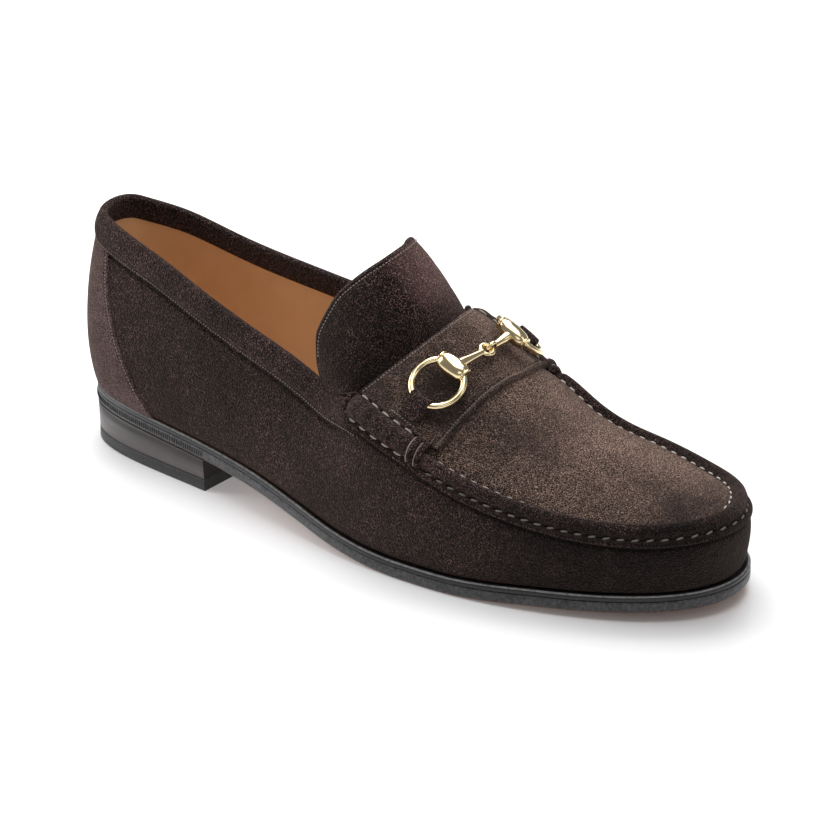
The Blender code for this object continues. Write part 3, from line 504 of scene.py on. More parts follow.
def add_mesh(name, points, faces, look, nodes=(), slot=None, nap=None, sharp=None):
    """Piece of the shoe: its nap value brushes the suede and carries painted light and shade, faces that meet
    above the sharp angle keep their edge.
    """
    mesh = bpy.data.meshes.new(name)
    mesh.from_pydata((np.asarray(points).reshape(-1, 3) + SHIFT).tolist(), [], faces)
    mesh.shade_smooth()
    if sharp:
        mesh.set_sharp_from_angle(angle=math.radians(sharp))
    mesh.materials.append(look)
    if nap is not None:
        layer = mesh.attributes.new("nap", "FLOAT", "POINT")
        layer.data.foreach_set("value", np.asarray(nap, np.float32).reshape(-1))
    piece = add_object(name, mesh)
    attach(piece, "root")
    if nodes:
        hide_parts(*nodes)
    return piece


def grid_faces(rows, columns, wrap_rows=False, wrap_columns=False, flip=False):
    i = np.arange(rows if wrap_rows else rows - 1)[:, None]
    j = np.arange(columns if wrap_columns else columns - 1)[None, :]
    below = (i + 1) % rows
    beside = (j + 1) % columns
    corners = (i * columns + j, below * columns + j, below * columns + beside, i * columns + beside)
    quads = np.stack(np.broadcast_arrays(*corners), axis=-1).reshape(-1, 4)
    return (quads[:, ::-1] if flip else quads).tolist()


def end_faces(rows, columns):
    """Faces that close both ends of a tube whose rows are its rings."""
    return [list(range(columns)), list(range((rows - 1) * columns, rows * columns))[::-1]]


def fan(first, columns, tip, flip):
    """Triangles between one row of a grid and a point."""
    faces = [[first + j, tip, first + j + 1] for j in range(columns - 1)]
    return [face[::-1] for face in faces] if flip else faces


def circle(side, up, sides):
    """Directions round an axis, at each of its points."""
    angle = 2 * np.pi * np.arange(sides) / sides
    return side[..., None, :] * np.cos(angle)[:, None] + up[..., None, :] * np.sin(angle)[:, None]


def facing(grid, outward):
    """True if the faces of a grid have to be flipped to face outward."""
    rows, columns = grid.shape[:2]
    i = rows // 2
    j = columns // 2
    normal = np.cross(grid[i, j] - grid[i - 1, j], grid[i, j] - grid[i, j - 1])
    return float(np.dot(normal, outward[i, j] if outward.ndim == 3 else outward)) < 0


def add_sheet(name, grid, outward, look, wrap=False, **options):
    rows, columns = grid.shape[:2]
    faces = grid_faces(rows, columns, wrap_rows=wrap, flip=facing(grid, outward))
    return add_mesh(name, grid, faces, look, **options)


def add_thick_sheet(name, outer, normals, thickness, look, inner_look, **options):
    """Sheet of even thickness with a rounded rim and another look on its inner face."""
    rows, columns = outer.shape[:2]
    inner = outer - normals * thickness
    flip = facing(outer, normals)
    count = rows * columns
    faces = grid_faces(rows, columns, flip=flip)
    faces += (np.array(grid_faces(rows, columns, flip=not flip)) + count).tolist()
    loop = [(0, j) for j in range(columns)]
    loop += [(i, columns - 1) for i in range(1, rows)]
    loop += [(rows - 1, j) for j in range(columns - 2, -1, -1)]
    loop += [(i, 0) for i in range(rows - 2, 0, -1)]
    index = np.array([i * columns + j for i, j in loop])
    rim = outer.reshape(-1, 3)[index]
    normal = normals.reshape(-1, 3)[index]
    tangent = unit(np.roll(rim, -1, axis=0) - np.roll(rim, 1, axis=0))
    away = np.cross(tangent, normal)
    away = away * np.sign((away * (rim - outer.mean(axis=(0, 1)))).sum(axis=1).mean())
    points = [outer.reshape(-1, 3), inner.reshape(-1, 3)]
    levels = [index]
    middle = rim - normal * thickness / 2
    for step, angle in enumerate(math.radians(a) for a in (60, 30, 0, -30, -60)):
        points.append(middle + (normal * math.sin(angle) + away * math.cos(angle)) * thickness / 2)
        levels.append(2 * count + step * len(index) + np.arange(len(index)))
    levels.append(index + count)
    for near, far in zip(levels, levels[1:]):
        strip = np.stack([near, np.roll(near, -1), np.roll(far, -1), far], axis=1)
        faces += (strip if flip else strip[:, ::-1]).tolist()
    piece = add_mesh(name, np.concatenate(points), faces, look, **options)
    piece.data.materials.append(inner_look)
    one_side = (rows - 1) * (columns - 1)
    for face in piece.data.polygons[one_side:2 * one_side]:
        face.material_index = 1
    return piece


def ladder(ring, first):
    """Faces across a closed ring that is symmetric about its first point."""
    faces = [(first, first + 1, first + ring - 1)]
    i = 1
    while i + 1 < ring - i - 1:
        faces.append((first + i, first + i + 1, first + ring - i - 1, first + ring - i))
        i += 1
    if ring % 2 == 0:
        faces.append((first + i, first + i + 1, first + i + 2))
    return faces


def add_plate(name, rings, look, **options):
    """Solid through a stack of closed rings from low to high, closed by a face at each end."""
    count = len(rings[0])
    last = count * (len(rings) - 1)
    faces = ladder(count, 0) + [face[::-1] for face in ladder(count, last)]
    faces += grid_faces(len(rings), count, wrap_columns=True)
    faces = [list(face)[::-1] for face in faces]
    return add_mesh(name, np.concatenate(rings), faces, look, **options)


def sole_rings(turns, rows, on_sole=True):
    """Rings round the sole: inset from its outline, height over its underside or over the floor."""
    rings = []
    for inset, height in rows:
        plan = inset_outline(turns, np.full(len(turns), inset))
        low = underside(plan[:, 0]) if on_sole else np.zeros(len(plan))
        rings.append(np.column_stack([plan, low + height]))
    return rings


def spaced(points, pitch, *others):
    """Points and other arrays resampled at an even pitch, centred along the path."""
    length = run_along(points)
    count = int(length[-1] / pitch)
    at = (length[-1] - pitch * (count - 1)) / 2 + pitch * np.arange(count)
    return [np.stack([np.interp(at, length, array[:, k]) for k in range(3)], axis=1)
            for array in (points,) + others]


def add_stitches(name, centres, along, normals, length, radius, look, slot="suede_dark_brown"):
    """Row of short threads, each a small rounded rod."""
    sides = 6
    places = (-1.0, -0.86, -0.5, 0.0, 0.5, 0.86, 1.0)
    widths = (0.12, 0.62, 0.95, 1.0, 0.95, 0.62, 0.12)
    along = unit(along)
    side = unit(np.cross(normals, along))
    up = np.cross(along, side)
    around = circle(side, up, sides)
    points = []
    for place, width in zip(places, widths):
        arch = (1 - place**2) * 0.4 * radius
        middle = centres + along * (place * length / 2) + up * arch
        points.append(middle[:, None] + radius * width * around)
    points = np.stack(points, axis=1)
    one = grid_faces(len(places), sides, wrap_columns=True) + end_faces(len(places), sides)
    faces = []
    for i in range(len(centres)):
        faces += [[k + i * len(places) * sides for k in face] for face in one]
    return add_mesh(name, points, faces, look, slot=slot)


def add_seam(name, path, normals, length, radius, **options):
    """Even row of machine stitches along a path."""
    centres, normals = spaced(path, FINE_PITCH, normals)
    add_stitches(name, centres, np.gradient(centres, axis=0), normals, length, radius, thread_fine, **options)


# Materials

def new_material(name):
    made = bpy.data.materials.new(name)
    made.use_nodes = True
    tree = made.node_tree
    return made, tree, tree.nodes["Principled BSDF"]


def set_inputs(node, values):
    for name, value in values.items():
        node.inputs[name].default_value = value


def noise_node(tree, scale, detail, roughness=0.5, stretch=None):
    place = tree.nodes.new("ShaderNodeTexCoord")
    texture = tree.nodes.new("ShaderNodeTexNoise")
    set_inputs(texture, {"Scale": scale, "Detail": detail, "Roughness": roughness})
    source = place.outputs["Object"]
    if stretch:
        mapping = tree.nodes.new("ShaderNodeMapping")
        mapping.inputs["Scale"].default_value = stretch
        tree.links.new(source, mapping.inputs["Vector"])
        source = mapping.outputs["Vector"]
    tree.links.new(source, texture.inputs["Vector"])
    return texture.outputs["Fac"]


def arithmetic(tree, operation, first, second):
    node = tree.nodes.new("ShaderNodeMath")
    node.operation = operation
    for socket, value in zip(node.inputs, (first, second)):
        if isinstance(value, (int, float)):
            socket.default_value = value
        else:
            tree.links.new(value, socket)
    return node.outputs[0]


def sum_of(tree, *values):
    result = values[0]
    for value in values[1:]:
        result = arithmetic(tree, "ADD", result, value)
    return result


def spread(tree, value, gain, middle=0.5):
    """Distance of a value from its middle, times a gain."""
    return arithmetic(tree, "MULTIPLY", arithmetic(tree, "SUBTRACT", value, middle), gain)


def object_axis(tree, axis):
    place = tree.nodes.new("ShaderNodeTexCoord")
    split = tree.nodes.new("ShaderNodeSeparateXYZ")
    tree.links.new(place.outputs["Object"], split.inputs["Vector"])
    return split.outputs[axis]


def colour_mix(tree, factor, dark, light):
    ramp = tree.nodes.new("ShaderNodeValToRGB")
    ramp.color_ramp.elements[0].color = (*dark, 1)
    ramp.color_ramp.elements[1].color = (*light, 1)
    tree.links.new(factor, ramp.inputs["Fac"])
    return ramp.outputs["Color"]


def add_bump(tree, shader, height, distance):
    bump = tree.nodes.new("ShaderNodeBump")
    set_inputs(bump, {"Distance": distance, "Strength": 1.0})
    tree.links.new(height, bump.inputs["Height"])
    tree.links.new(bump.outputs["Normal"], shader.inputs["Normal"])


def suede(name, dark, light, grain=1.0, fibre=1750, contrast=30.0, level=-0.60):
    """Short nap: brushed patches, mottling and a fibrous grain, lightened or darkened by the nap attribute,
    which holds brushed nap and painted light and shade. Contrast and level set the fibres' shade.
    """
    made, tree, shader = new_material(name)
    patches = noise_node(tree, 38, 4, 0.55)
    mottle = noise_node(tree, 240, 3, 0.6)
    fibres = noise_node(tree, fibre, 1.5, 0.7)
    nap = tree.nodes.new("ShaderNodeAttribute")
    nap.attribute_name = "nap"
    painted_light_and_nap = nap.outputs["Fac"]
    factor = sum_of(tree, spread(tree, patches, 1.5), painted_light_and_nap, spread(tree, mottle, 0.7), 0.40)
    fine = arithmetic(tree, "MAXIMUM", sum_of(tree, spread(tree, fibres, contrast), level), 0.05)
    # Where the nap attribute is high the fibres are lightened further, part of the painted highlight
    fine = sum_of(tree, fine, arithmetic(tree, "MAXIMUM", spread(tree, painted_light_and_nap, 3.0), 0.0))
    shade = tree.nodes.new("ShaderNodeVectorMath")
    shade.operation = "SCALE"
    tree.links.new(colour_mix(tree, factor, dark, light), shade.inputs[0])
    tree.links.new(fine, shade.inputs["Scale"])
    tree.links.new(shade.outputs["Vector"], shader.inputs["Base Color"])
    set_inputs(shader, {"Roughness": 0.92, "Specular IOR Level": 0.12, "Sheen Weight": 0.18,
                        "Sheen Roughness": 0.42, "Sheen Tint": (0.85, 0.62, 0.54, 1)})
    height = sum_of(tree, fibres, arithmetic(tree, "MULTIPLY", mottle, 0.6))
    add_bump(tree, shader, height, 0.0016 * grain)
    return made


def waxed_edge(name, dark, light, roughness, bump=0.00008):
    """Blackened and waxed leather edge."""
    made, tree, shader = new_material(name)
    wear = noise_node(tree, 90, 5, 0.65, (1.0, 1.0, 2.5))
    fine = noise_node(tree, 700, 4, 0.7)
    worn = sum_of(tree, wear, spread(tree, fine, 3.5))
    tree.links.new(colour_mix(tree, worn, dark, light), shader.inputs["Base Color"])
    rough = sum_of(tree, arithmetic(tree, "MULTIPLY", wear, 0.3), roughness - 0.15)
    tree.links.new(rough, shader.inputs["Roughness"])
    add_bump(tree, shader, fine, bump)
    return made


def smooth_leather(name, dark, light, roughness):
    made, tree, shader = new_material(name)
    tree.links.new(colour_mix(tree, noise_node(tree, 60, 4), dark, light), shader.inputs["Base Color"])
    shader.inputs["Roughness"].default_value = roughness
    add_bump(tree, shader, noise_node(tree, 1400, 3), 0.00010)
    return made


def stacked_leather(name):
    """Layers of the heel, waxed together."""
    made, tree, shader = new_material(name)
    layers = noise_node(tree, 30, 3, 0.5, (0.6, 0.6, 14.0))
    wear = noise_node(tree, 120, 4, 0.6)
    mixed = arithmetic(tree, "MULTIPLY", sum_of(tree, layers, wear), 0.5)
    paler_below = spread(tree, object_axis(tree, "Z"), -45.0, 0.0155)
    factor = sum_of(tree, mixed, paler_below, -0.25)
    colour = colour_mix(tree, factor, (0.012, 0.011, 0.012), (0.085, 0.066, 0.060))
    tree.links.new(colour, shader.inputs["Base Color"])
    shader.inputs["Roughness"].default_value = 0.36
    add_bump(tree, shader, layers, 0.00012)
    return made


def polished_metal(name):
    made, _, shader = new_material(name)
    set_inputs(shader, {"Base Color": (0.86, 0.70, 0.42, 1), "Metallic": 1.0, "Roughness": 0.16})
    return made


def thread(name, colour):
    made, tree, shader = new_material(name)
    set_inputs(shader, {"Base Color": (*colour, 1), "Roughness": 0.7})
    add_bump(tree, shader, noise_node(tree, 3000, 2), 0.0001)
    return made


suede_dark = suede("suede_dark", (0.0050, 0.0030, 0.0028), (0.055, 0.031, 0.0285))
suede_warm = suede("suede_warm", (0.012, 0.0070, 0.0058), (0.143, 0.094, 0.073), 0.8, 2100, 24.0, 0.66)
suede_heel = suede("suede_heel", (0.040, 0.024, 0.022), (0.135, 0.088, 0.083), 0.5, 2000, 7.0, 0.95)
sole_edge = waxed_edge("sole_edge", (0.011, 0.011, 0.012), (0.078, 0.076, 0.082), 0.36, 0.00045)
welt_edge = waxed_edge("welt_edge", (0.004, 0.004, 0.004), (0.016, 0.015, 0.015), 0.40)
wheel_mark = waxed_edge("wheel_mark", (0.003, 0.003, 0.003), (0.008, 0.008, 0.008), 0.6)
# Darker leather for the heel's breast: painted shade on the heel's front face
breast_painted_shade = smooth_leather("breast_painted_shade", (0.008, 0.0055, 0.005), (0.018, 0.013, 0.012), 0.6)
# Pale grey for the welt's rounded top edge: a painted highlight along it
welt_painted_highlight = waxed_edge("welt_painted_highlight", (0.08, 0.08, 0.083), (0.24, 0.235, 0.235), 0.4)
lift_rubber = waxed_edge("lift_rubber", (0.010, 0.010, 0.011), (0.030, 0.030, 0.032), 0.50)
sole_leather = smooth_leather("sole_leather", (0.16, 0.065, 0.032), (0.30, 0.14, 0.075), 0.45)
lining_leather = smooth_leather("lining_leather", (0.58, 0.35, 0.18), (0.76, 0.49, 0.28), 0.5)
stack = stacked_leather("stack")
gold = polished_metal("gold")
thread_pale = thread("thread_pale", (0.33, 0.29, 0.255))
thread_fine = thread("thread_fine", (0.30, 0.25, 0.225))
thread_white = thread("thread_white", (0.50, 0.45, 0.41))
# Darker thread for the apron's hand stitches
thread_dark = thread("thread_dark", (0.17, 0.148, 0.132))


# Sole

def look_again(piece, look, chosen):
    """Second look for the chosen faces of a piece."""
    piece.data.materials.append(look)
    for face in piece.data.polygons:
        if chosen(face):
            face.material_index = 1


def build_sole():
    turns = fine_turns
    rings = sole_rings(turns, (
        (0.0014, 0.0004), (0.0006, 0.0004), (0.0001, 0.0010), (0.0, 0.0018), (0.0, 0.0032),
        (0.0001, 0.0043), (0.0004, 0.0046),
    ))
    add_plate("outsole_edge", rings, sole_edge, nodes=("outsole",), slot="sole_edge_black")
    rings = sole_rings(turns, ((0.0010, 0.0), (0.0007, 0.0003), (0.0007, 0.0010)))
    add_plate("outsole_face", rings, sole_leather, slot="sole_edge_black")
    low = OUTSOLE_THICKNESS + FIT_GAP
    high = low + WELT_THICKNESS
    rings = sole_rings(turns, (
        (0.0120, low), (0.0003, low), (0.0001, low + 0.0002), (0.0, low + 0.0008), (0.0, low + 0.0014),
        (0.0002, low + 0.0018), (0.0009, high), (0.0012, high), (0.0016, low + 0.0021),
        (0.0120, low + 0.0021),
    ))
    faces = grid_faces(len(rings), len(turns), wrap_rows=True, wrap_columns=True, flip=True)
    strip = add_mesh("welt_strip", np.stack(rings), faces, welt_edge, nodes=("welt",), slot="welt_black")
    # The bevel faces on the welt's top edge take the painted highlight
    bevel = range(5 * len(turns), 6 * len(turns))
    look_again(strip, welt_painted_highlight, lambda face: face.index in bevel)


def build_heel():
    """Heel block and top lift, cut off straight at the breast."""
    breast = turn_of(HEEL_BREAST / SOLE_LENGTH, False)
    lateral = np.linspace(0, breast, 140)
    turns = np.concatenate([lateral, 1 - lateral[:0:-1]])
    joint = TOP_LIFT_THICKNESS
    rings = sole_rings(turns, ((HEEL_TAPER + 0.0004, joint + 0.0001), (HEEL_TAPER, joint + 0.0005)), False)
    rings += sole_rings(turns, ((0.0002, -0.0004), (0.0007, -0.00005)))
    block = add_plate("heel_block", rings, stack, nodes=("heel_stack",), slot="heel_stack_brown", sharp=60)
    # Faces of the breast take the darker leather, painted shade
    look_again(block, breast_painted_shade, lambda face: face.normal.x > 0.8)
    rings = sole_rings(turns, ((HEEL_TAPER + 0.0005, 0.0), (HEEL_TAPER, 0.0005), (HEEL_TAPER, joint - 0.0004),
                               (HEEL_TAPER + 0.0004, joint)), False)
    add_plate("heel_lift", rings, lift_rubber, nodes=("top_lift",), slot="top_lift_black", sharp=60)


def build_wheeling():
    """Fine upright marks pressed into the sole's edge round the heel."""
    breast = turn_of(HEEL_BREAST / SOLE_LENGTH, False)
    turns = np.linspace(-breast, breast, 1200)
    rim = outline_point(turns)
    rim = np.column_stack([rim, underside(rim[:, 0]) + WHEEL_LEVEL])
    centres, normals = spaced(rim, WHEEL_PITCH, wall_out(turns))
    along = np.zeros_like(centres) + UP
    add_stitches("heel_wheeling", centres, along, unit(normals), WHEEL_LENGTH, 0.00022, wheel_mark,
                 slot="sole_edge_black")


# Upper

def seam_arc(turns):
    """Distance along the apron seam from the toe, positive on the medial side."""
    fine = np.linspace(0, 1, 2001)
    length = run_along(top_point(fine))
    return np.interp(turns, fine, length) - np.interp(0.5, fine, length)


def pinch(arc):
    """1 where a hand stitch pulls the seam in, 0 between stitches."""
    return 0.5 + 0.5 * np.cos(2 * np.pi * arc / APRON_PITCH)


def ridge_grown(turns):
    return smooth_step((top_x(turns) - RIDGE_START) / RIDGE_FADE)[:, None]


def flange_grown(turns):
    return smooth_step((top_x(turns) - BAND_END - 0.001) / 0.004)[:, None]


def upper_turns():
    throat = top_turn(THROAT)
    lateral = np.concatenate([np.linspace(0, throat, 120, endpoint=False), np.linspace(throat, 0.5, 250)])
    return np.concatenate([lateral, 1 - lateral[-2:0:-1]])


def wall_relief(turns, under_top):
    """Height of ridge, flange and gathers over the plain wall."""
    pull = pinch(seam_arc(turns))[:, None]
    lower = hump(under_top, PINCH_DEPTH_UNDER_SEAM, 0.0011)
    roll = ridge_height(under_top + 0.0006 * pull * lower)
    gather = PINCH_DEPTH * pull * lower
    return ridge_grown(turns) * (roll - gather) + flange_grown(turns) * flange_height(under_top)


def wall_nap(points):
    """Nap of the wall with painted light: a little lighter beside the ball, darker round the toe with painted
    shade.
    """
    x = points[..., 0] / SOLE_LENGTH
    nap = 0.10 * hump(x, 0.64, 0.1) - 0.44 * smooth_step((x - 0.64) / 0.26)
    return nap + 0.01 * smooth_step((0.3 - x) / 0.3)


def build_wall():
    turns = upper_turns()
    length = wall_length(turns)
    collar = smooth_step((THROAT - 0.004 - top_x(turns)) / 0.006)[:, None]
    zone = COLLAR_SEAM + 0.0038 * collar
    trim = 0.0020 * collar
    lower = (length[:, None] - zone) * np.linspace(1, 0, 42) + zone
    upper = (zone - trim) * np.linspace(1, 0, 52)[1:] + trim
    under_top = np.concatenate([lower, upper], axis=1)
    grid = wall_grid(turns, under_top)
    outward = wall_sides(turns, under_top.shape[1])
    normal = grid_normals(grid, outward, wrap=True)
    from_foot = length[:, None] - under_top
    relief = wall_relief(turns, under_top) - 0.0006 * np.exp(-from_foot / 0.0009)
    relief = relief - 0.0008 * collar * hump(under_top, 0.0129, 0.0007)
    relief = relief + undulation(grid, 0.022, 0.00028) * smooth_step(from_foot / 0.006)
    points = grid + normal * relief[..., None]
    # The last column runs under the plug's edge, so that the seam stays closed
    out = wall_out(turns)
    tuck = points[:, -1] - out * 0.0006 - (UP * 0.0018 + out * 0.0012) * (1 - collar)
    # Painted highlight along the ridge's roll and painted shade in the stitch hollows; the flange gets a
    # lighter raw edge with a painted shadow under it
    hollow = pinch(seam_arc(turns))[:, None] * hump(under_top, PINCH_DEPTH_UNDER_SEAM, 0.0009)
    ridge_nap = ridge_grown(turns) * (0.30 * smooth_step((0.0052 - under_top) / 0.0025) - 0.45 * hollow)
    lip_nap = 0.40 * (hump(under_top, 0.0082, 0.0005) - hump(under_top, 0.0093, 0.0007))
    nap = wall_nap(grid) + ridge_nap + flange_grown(turns) * lip_nap
    # The tucked column under the plug's edge is darker still: painted shade in the seam
    add_sheet("upper_wall", np.concatenate([points, tuck[:, None]], axis=1), outward, suede_dark, wrap=True,
              nodes=("upper",), slot="suede_dark_brown", nap=np.concatenate([nap, nap[:, -1:] - 0.3], axis=1))
    down = (length - 0.0024)[:, None] * np.linspace(0, 1, 26) + 0.0024
    inside = wall_grid(turns, down)
    outward = wall_sides(turns, down.shape[1])
    inside = inside - grid_normals(inside, outward, wrap=True) * WALL
    add_sheet("upper_lining", inside, -outward, lining_leather, wrap=True, slot="insole_tan")


# Nap of the plug with its painted highlight and shade, summed from the patches
def nap_of_plug(points):
    value = np.full(points.shape[:-1], 0.07)
    for x, y, half_length, half_width, strength in NAP_AND_PAINTED_LIGHT_PATCHES:
        away = ((points[..., 0] - x) / half_length) ** 2 + ((points[..., 1] - y) / half_width) ** 2
        value = value + strength * np.exp(-away)
    return value


def build_plug():
    turns = np.linspace(top_turn(THROAT), 0.5, 230, endpoint=False)
    x = top_x(turns)
    across = np.sin(np.linspace(-1, 1, 121) * np.pi / 2)
    across = 0.6 * across + 0.4 * np.linspace(-1, 1, 121)
    points = instep_point(x[:, None], across[None, :])
    normal = instep_normal(x[:, None], across[None, 1:-1])
    normal = np.concatenate([normal[:, :1], normal, normal[:, -1:]], axis=1)
    half_chord = np.linalg.norm(top_point(turns) - top_point(1 - turns), axis=1) / 2
    from_seam = (1 - np.abs(across))[None, :] * half_chord[:, None]
    side = np.where(across < 0, -1, 1)[None, :]
    arc = seam_arc(turns)[:, None] * -side
    pull = pinch(arc) * ridge_grown(turns)
    relief = -0.0012 * np.exp(-from_seam / 0.0012) - 0.0006 * pull * np.exp(-from_seam / 0.0014)
    relief = relief + undulation(points, 0.020, 0.00030, 3.0) * smooth_step(from_seam / 0.006)
    points = points + normal * relief[..., None]
    rows, columns = points.shape[:2]
    flip = facing(points, normal)
    faces = grid_faces(rows, columns, flip=flip) + fan((rows - 1) * columns, columns, rows * columns, flip)
    flat = np.concatenate([points.reshape(-1, 3), top_point(np.array([0.5]))])
    nap = np.append(nap_of_plug(points).reshape(-1), 0.0)
    add_mesh("upper_plug", flat, faces, suede_warm, slot="suede_warm_brown", nap=nap)
    inside = instep_point(x[::3, None], across[None, ::4])
    normal = instep_normal(x[::3, None], np.clip(across[None, ::4], -0.99, 0.99))
    add_sheet("plug_lining", inside - normal * WALL, -normal, lining_leather, slot="insole_tan")


def build_apron_stitches():
    """Hand stitches under the ridge, and their ends on the plug."""
    turns = np.linspace(top_turn(RIDGE_START + 0.004), 1 - top_turn(RIDGE_START + 0.004), 3000)
    arc = seam_arc(turns)
    count = int(arc[-1] / APRON_PITCH)
    places = np.interp(np.arange(-count, count + 1) * APRON_PITCH, arc, turns)
    small = 5e-4
    depth = np.full((len(places), 3), APRON_STITCH_DEPTH) + np.array([-0.0002, 0.0, 0.0002])
    middle = wall_grid(places, depth)
    along = wall_grid(places + small, depth)[:, 1] - wall_grid(places - small, depth)[:, 1]
    down = middle[:, 2] - middle[:, 0]
    normal = unit(np.cross(along, down))
    normal = normal * np.sign((normal * wall_out(places)).sum(axis=1, keepdims=True))
    slant = unit(along) - unit(down) * np.random.default_rng(4).uniform(0.05, 0.28, (len(places), 1))
    add_stitches("apron_stitches", middle[:, 1] + normal * THREAD_LIFT, slant, normal, APRON_DASH,
                 HAND_THREAD * 1.15, thread_dark)
    places = np.interp((np.arange(-count, count) + 0.5) * APRON_PITCH, arc, turns)
    seam = top_point(places)
    along = top_point(places + small) - top_point(places - small)
    inward = np.array([SOLE_LENGTH * 0.72, 0.0, 0.0]) - seam
    inward[:, 2] = 0
    inward = unit(inward)
    up = np.zeros_like(seam) + UP
    slant = unit(along) + inward * 0.12
    sides = (("lateral", places < 0.5, 0.0007, 0.00022), ("medial", places >= 0.5, 0.0014, 0.00036))
    for name, chosen, reach, size in sides:
        centres = seam + inward * reach + UP * size * 0.8
        add_stitches("plug_stitches_" + name, centres[chosen], slant[chosen], up[chosen], 0.0027, size,
                     thread_white)


def build_band():
    """Collar band turned over the top edge into the shoe."""
    end = top_turn(BAND_END + BAND_TAIL)
    turns = np.linspace(-end, end, 440)
    thick = smooth_step((BAND_END + BAND_TAIL - top_x(turns)) / BAND_TAIL + 0.05)
    under = np.array([row[0] for row in BAND])
    under = np.unique(np.concatenate([under, np.linspace(under[0], under[-1], 26)]))[::-1]
    grid = wall_grid(turns, np.broadcast_to(under, (len(turns), len(under))))
    outward = wall_sides(turns, len(under))
    normal = grid_normals(grid, outward)
    lumps = 1 + undulation(grid, 0.006, 0.18, 8.0)
    outer = grid + normal * (band_height(under)[None, :] * lumps * thick[:, None])[..., None]
    base = grid[:, -1]
    base_normal = normal[:, -1]
    upward = unit(grid[:, -1] - grid[:, -3])
    top_height = (band_height(under[-1]) * thick)[:, None]
    radius = (top_height + WALL + 0.0003) / 2
    centre = base + base_normal * (top_height - radius)
    rows = [outer]
    for degree in range(15, 181, 15):
        angle = math.radians(degree)
        arch = centre + base_normal * radius * math.cos(angle) + upward * under[-1] * math.sin(angle)
        rows.append(arch[:, None])
    within = under[-1] + BAND_TURN_IN * np.array([0.15, 0.4, 0.7, 0.97, 1.0])
    inner = wall_grid(turns, np.broadcast_to(within, (len(turns), len(within))))
    depth = WALL + np.array([0.0003, 0.0004, 0.0004, 0.0004, 0.0])
    rows.append(inner - grid_normals(inner, outward[:, :len(within)]) * depth[None, :, None])
    points = np.concatenate(rows, axis=1)
    faces = grid_faces(*points.shape[:2], flip=facing(points[:, :10], outward[:, :10]))
    nap = 0.06 + wall_nap(points)
    add_mesh("collar", points, faces, suede_dark, nodes=("collar_band",), slot="suede_dark_brown", nap=nap)
    seam_normal = normal[:, 12]
    seam = wall_grid(turns, np.full((len(turns), 1), COLLAR_SEAM))[:, 0]
    seam = seam + seam_normal * (0.0010 * thick[:, None])
    add_seam("collar_stitches", seam, seam_normal, 0.0008, FINE_THREAD)


def build_counter():
    """Counter patch round the heel, its front edges stitched down."""
    shares = np.linspace(0, 1, 60)
    sides = np.linspace(-1, 1, 221)
    sides = sides * (1.25 - 0.25 * sides**2)
    paths = counter_turn(shares)[:, None] * sides
    grid = []
    for share, path in zip(shares, paths):
        length = wall_length(path)
        under = length - share * (length - BAND_WIDTH + 0.0008)
        grid.append(wall_grid(path, under[:, None])[:, 0])
    grid = np.stack(grid)
    outward = wall_out(paths)
    normal = grid_normals(grid, outward)
    from_left = run_along(grid, 1)
    from_edge = np.minimum(from_left, from_left[:, -1:] - from_left)
    edge = np.sqrt(np.clip(1 - (1 - np.clip(from_edge / 0.0008, 0, 1)) ** 2, 0, 1))
    groove = 0.45 * hump(from_edge, COUNTER_SEAM, 0.0005)
    foot = 0.5 * np.exp(-shares / 0.02)[:, None]
    height = FIT_GAP / 2 + COUNTER_SWELL * edge * (1 - groove) * (1 - foot)
    height = height + undulation(grid, 0.016, 0.00018, 5.0) * edge
    points = grid + normal * height[..., None]
    nap = 0.02 + 0.30 * np.exp(-from_edge / 0.0012)
    add_sheet("heel_patch", points, outward, suede_heel, nodes=("heel_counter",),
              slot="suede_heel_brown", nap=nap)
    rows = np.arange(len(shares) - 2)
    near = np.argmin(np.abs(from_left - COUNTER_SEAM), axis=1)[:-2]
    for name, at in (("lateral", near), ("medial", len(sides) - 1 - near)):
        out = normal[rows, at]
        add_seam("counter_stitches_" + name, points[rows, at] + out * THREAD_LIFT, out, 0.0008, FINE_THREAD,
                 slot="suede_heel_brown")


# Saddle and tongue

def saddle_front(across):
    run_back = np.clip((across - SADDLE_FRONT_CORNER) / (1 - SADDLE_FRONT_CORNER), 0, 1)
    return SADDLE_FRONT_LATERAL + (SADDLE_FRONT_MEDIAL - SADDLE_FRONT_LATERAL) * smooth_step(run_back * 0.9)


def saddle_height(from_rear, from_front):
    """Thickness of the strap with its rounded and stitched edges."""
    edge = np.minimum(np.clip(from_rear / 0.0006, 0, 1), np.clip(from_front / 0.0006, 0, 1))
    body = SADDLE_THICKNESS * np.sqrt(np.clip(1 - (1 - edge) ** 2, 0, 1))
    swell = 0.0007 * hump(from_front, 0.0010, 0.0007)
    grooves = 0.00055 * hump(from_front, SADDLE_FRONT_SEAM, 0.0005)
    grooves = grooves + 0.00030 * hump(from_rear, SADDLE_REAR_SEAM, 0.0005)
    return body + swell * edge - grooves * edge


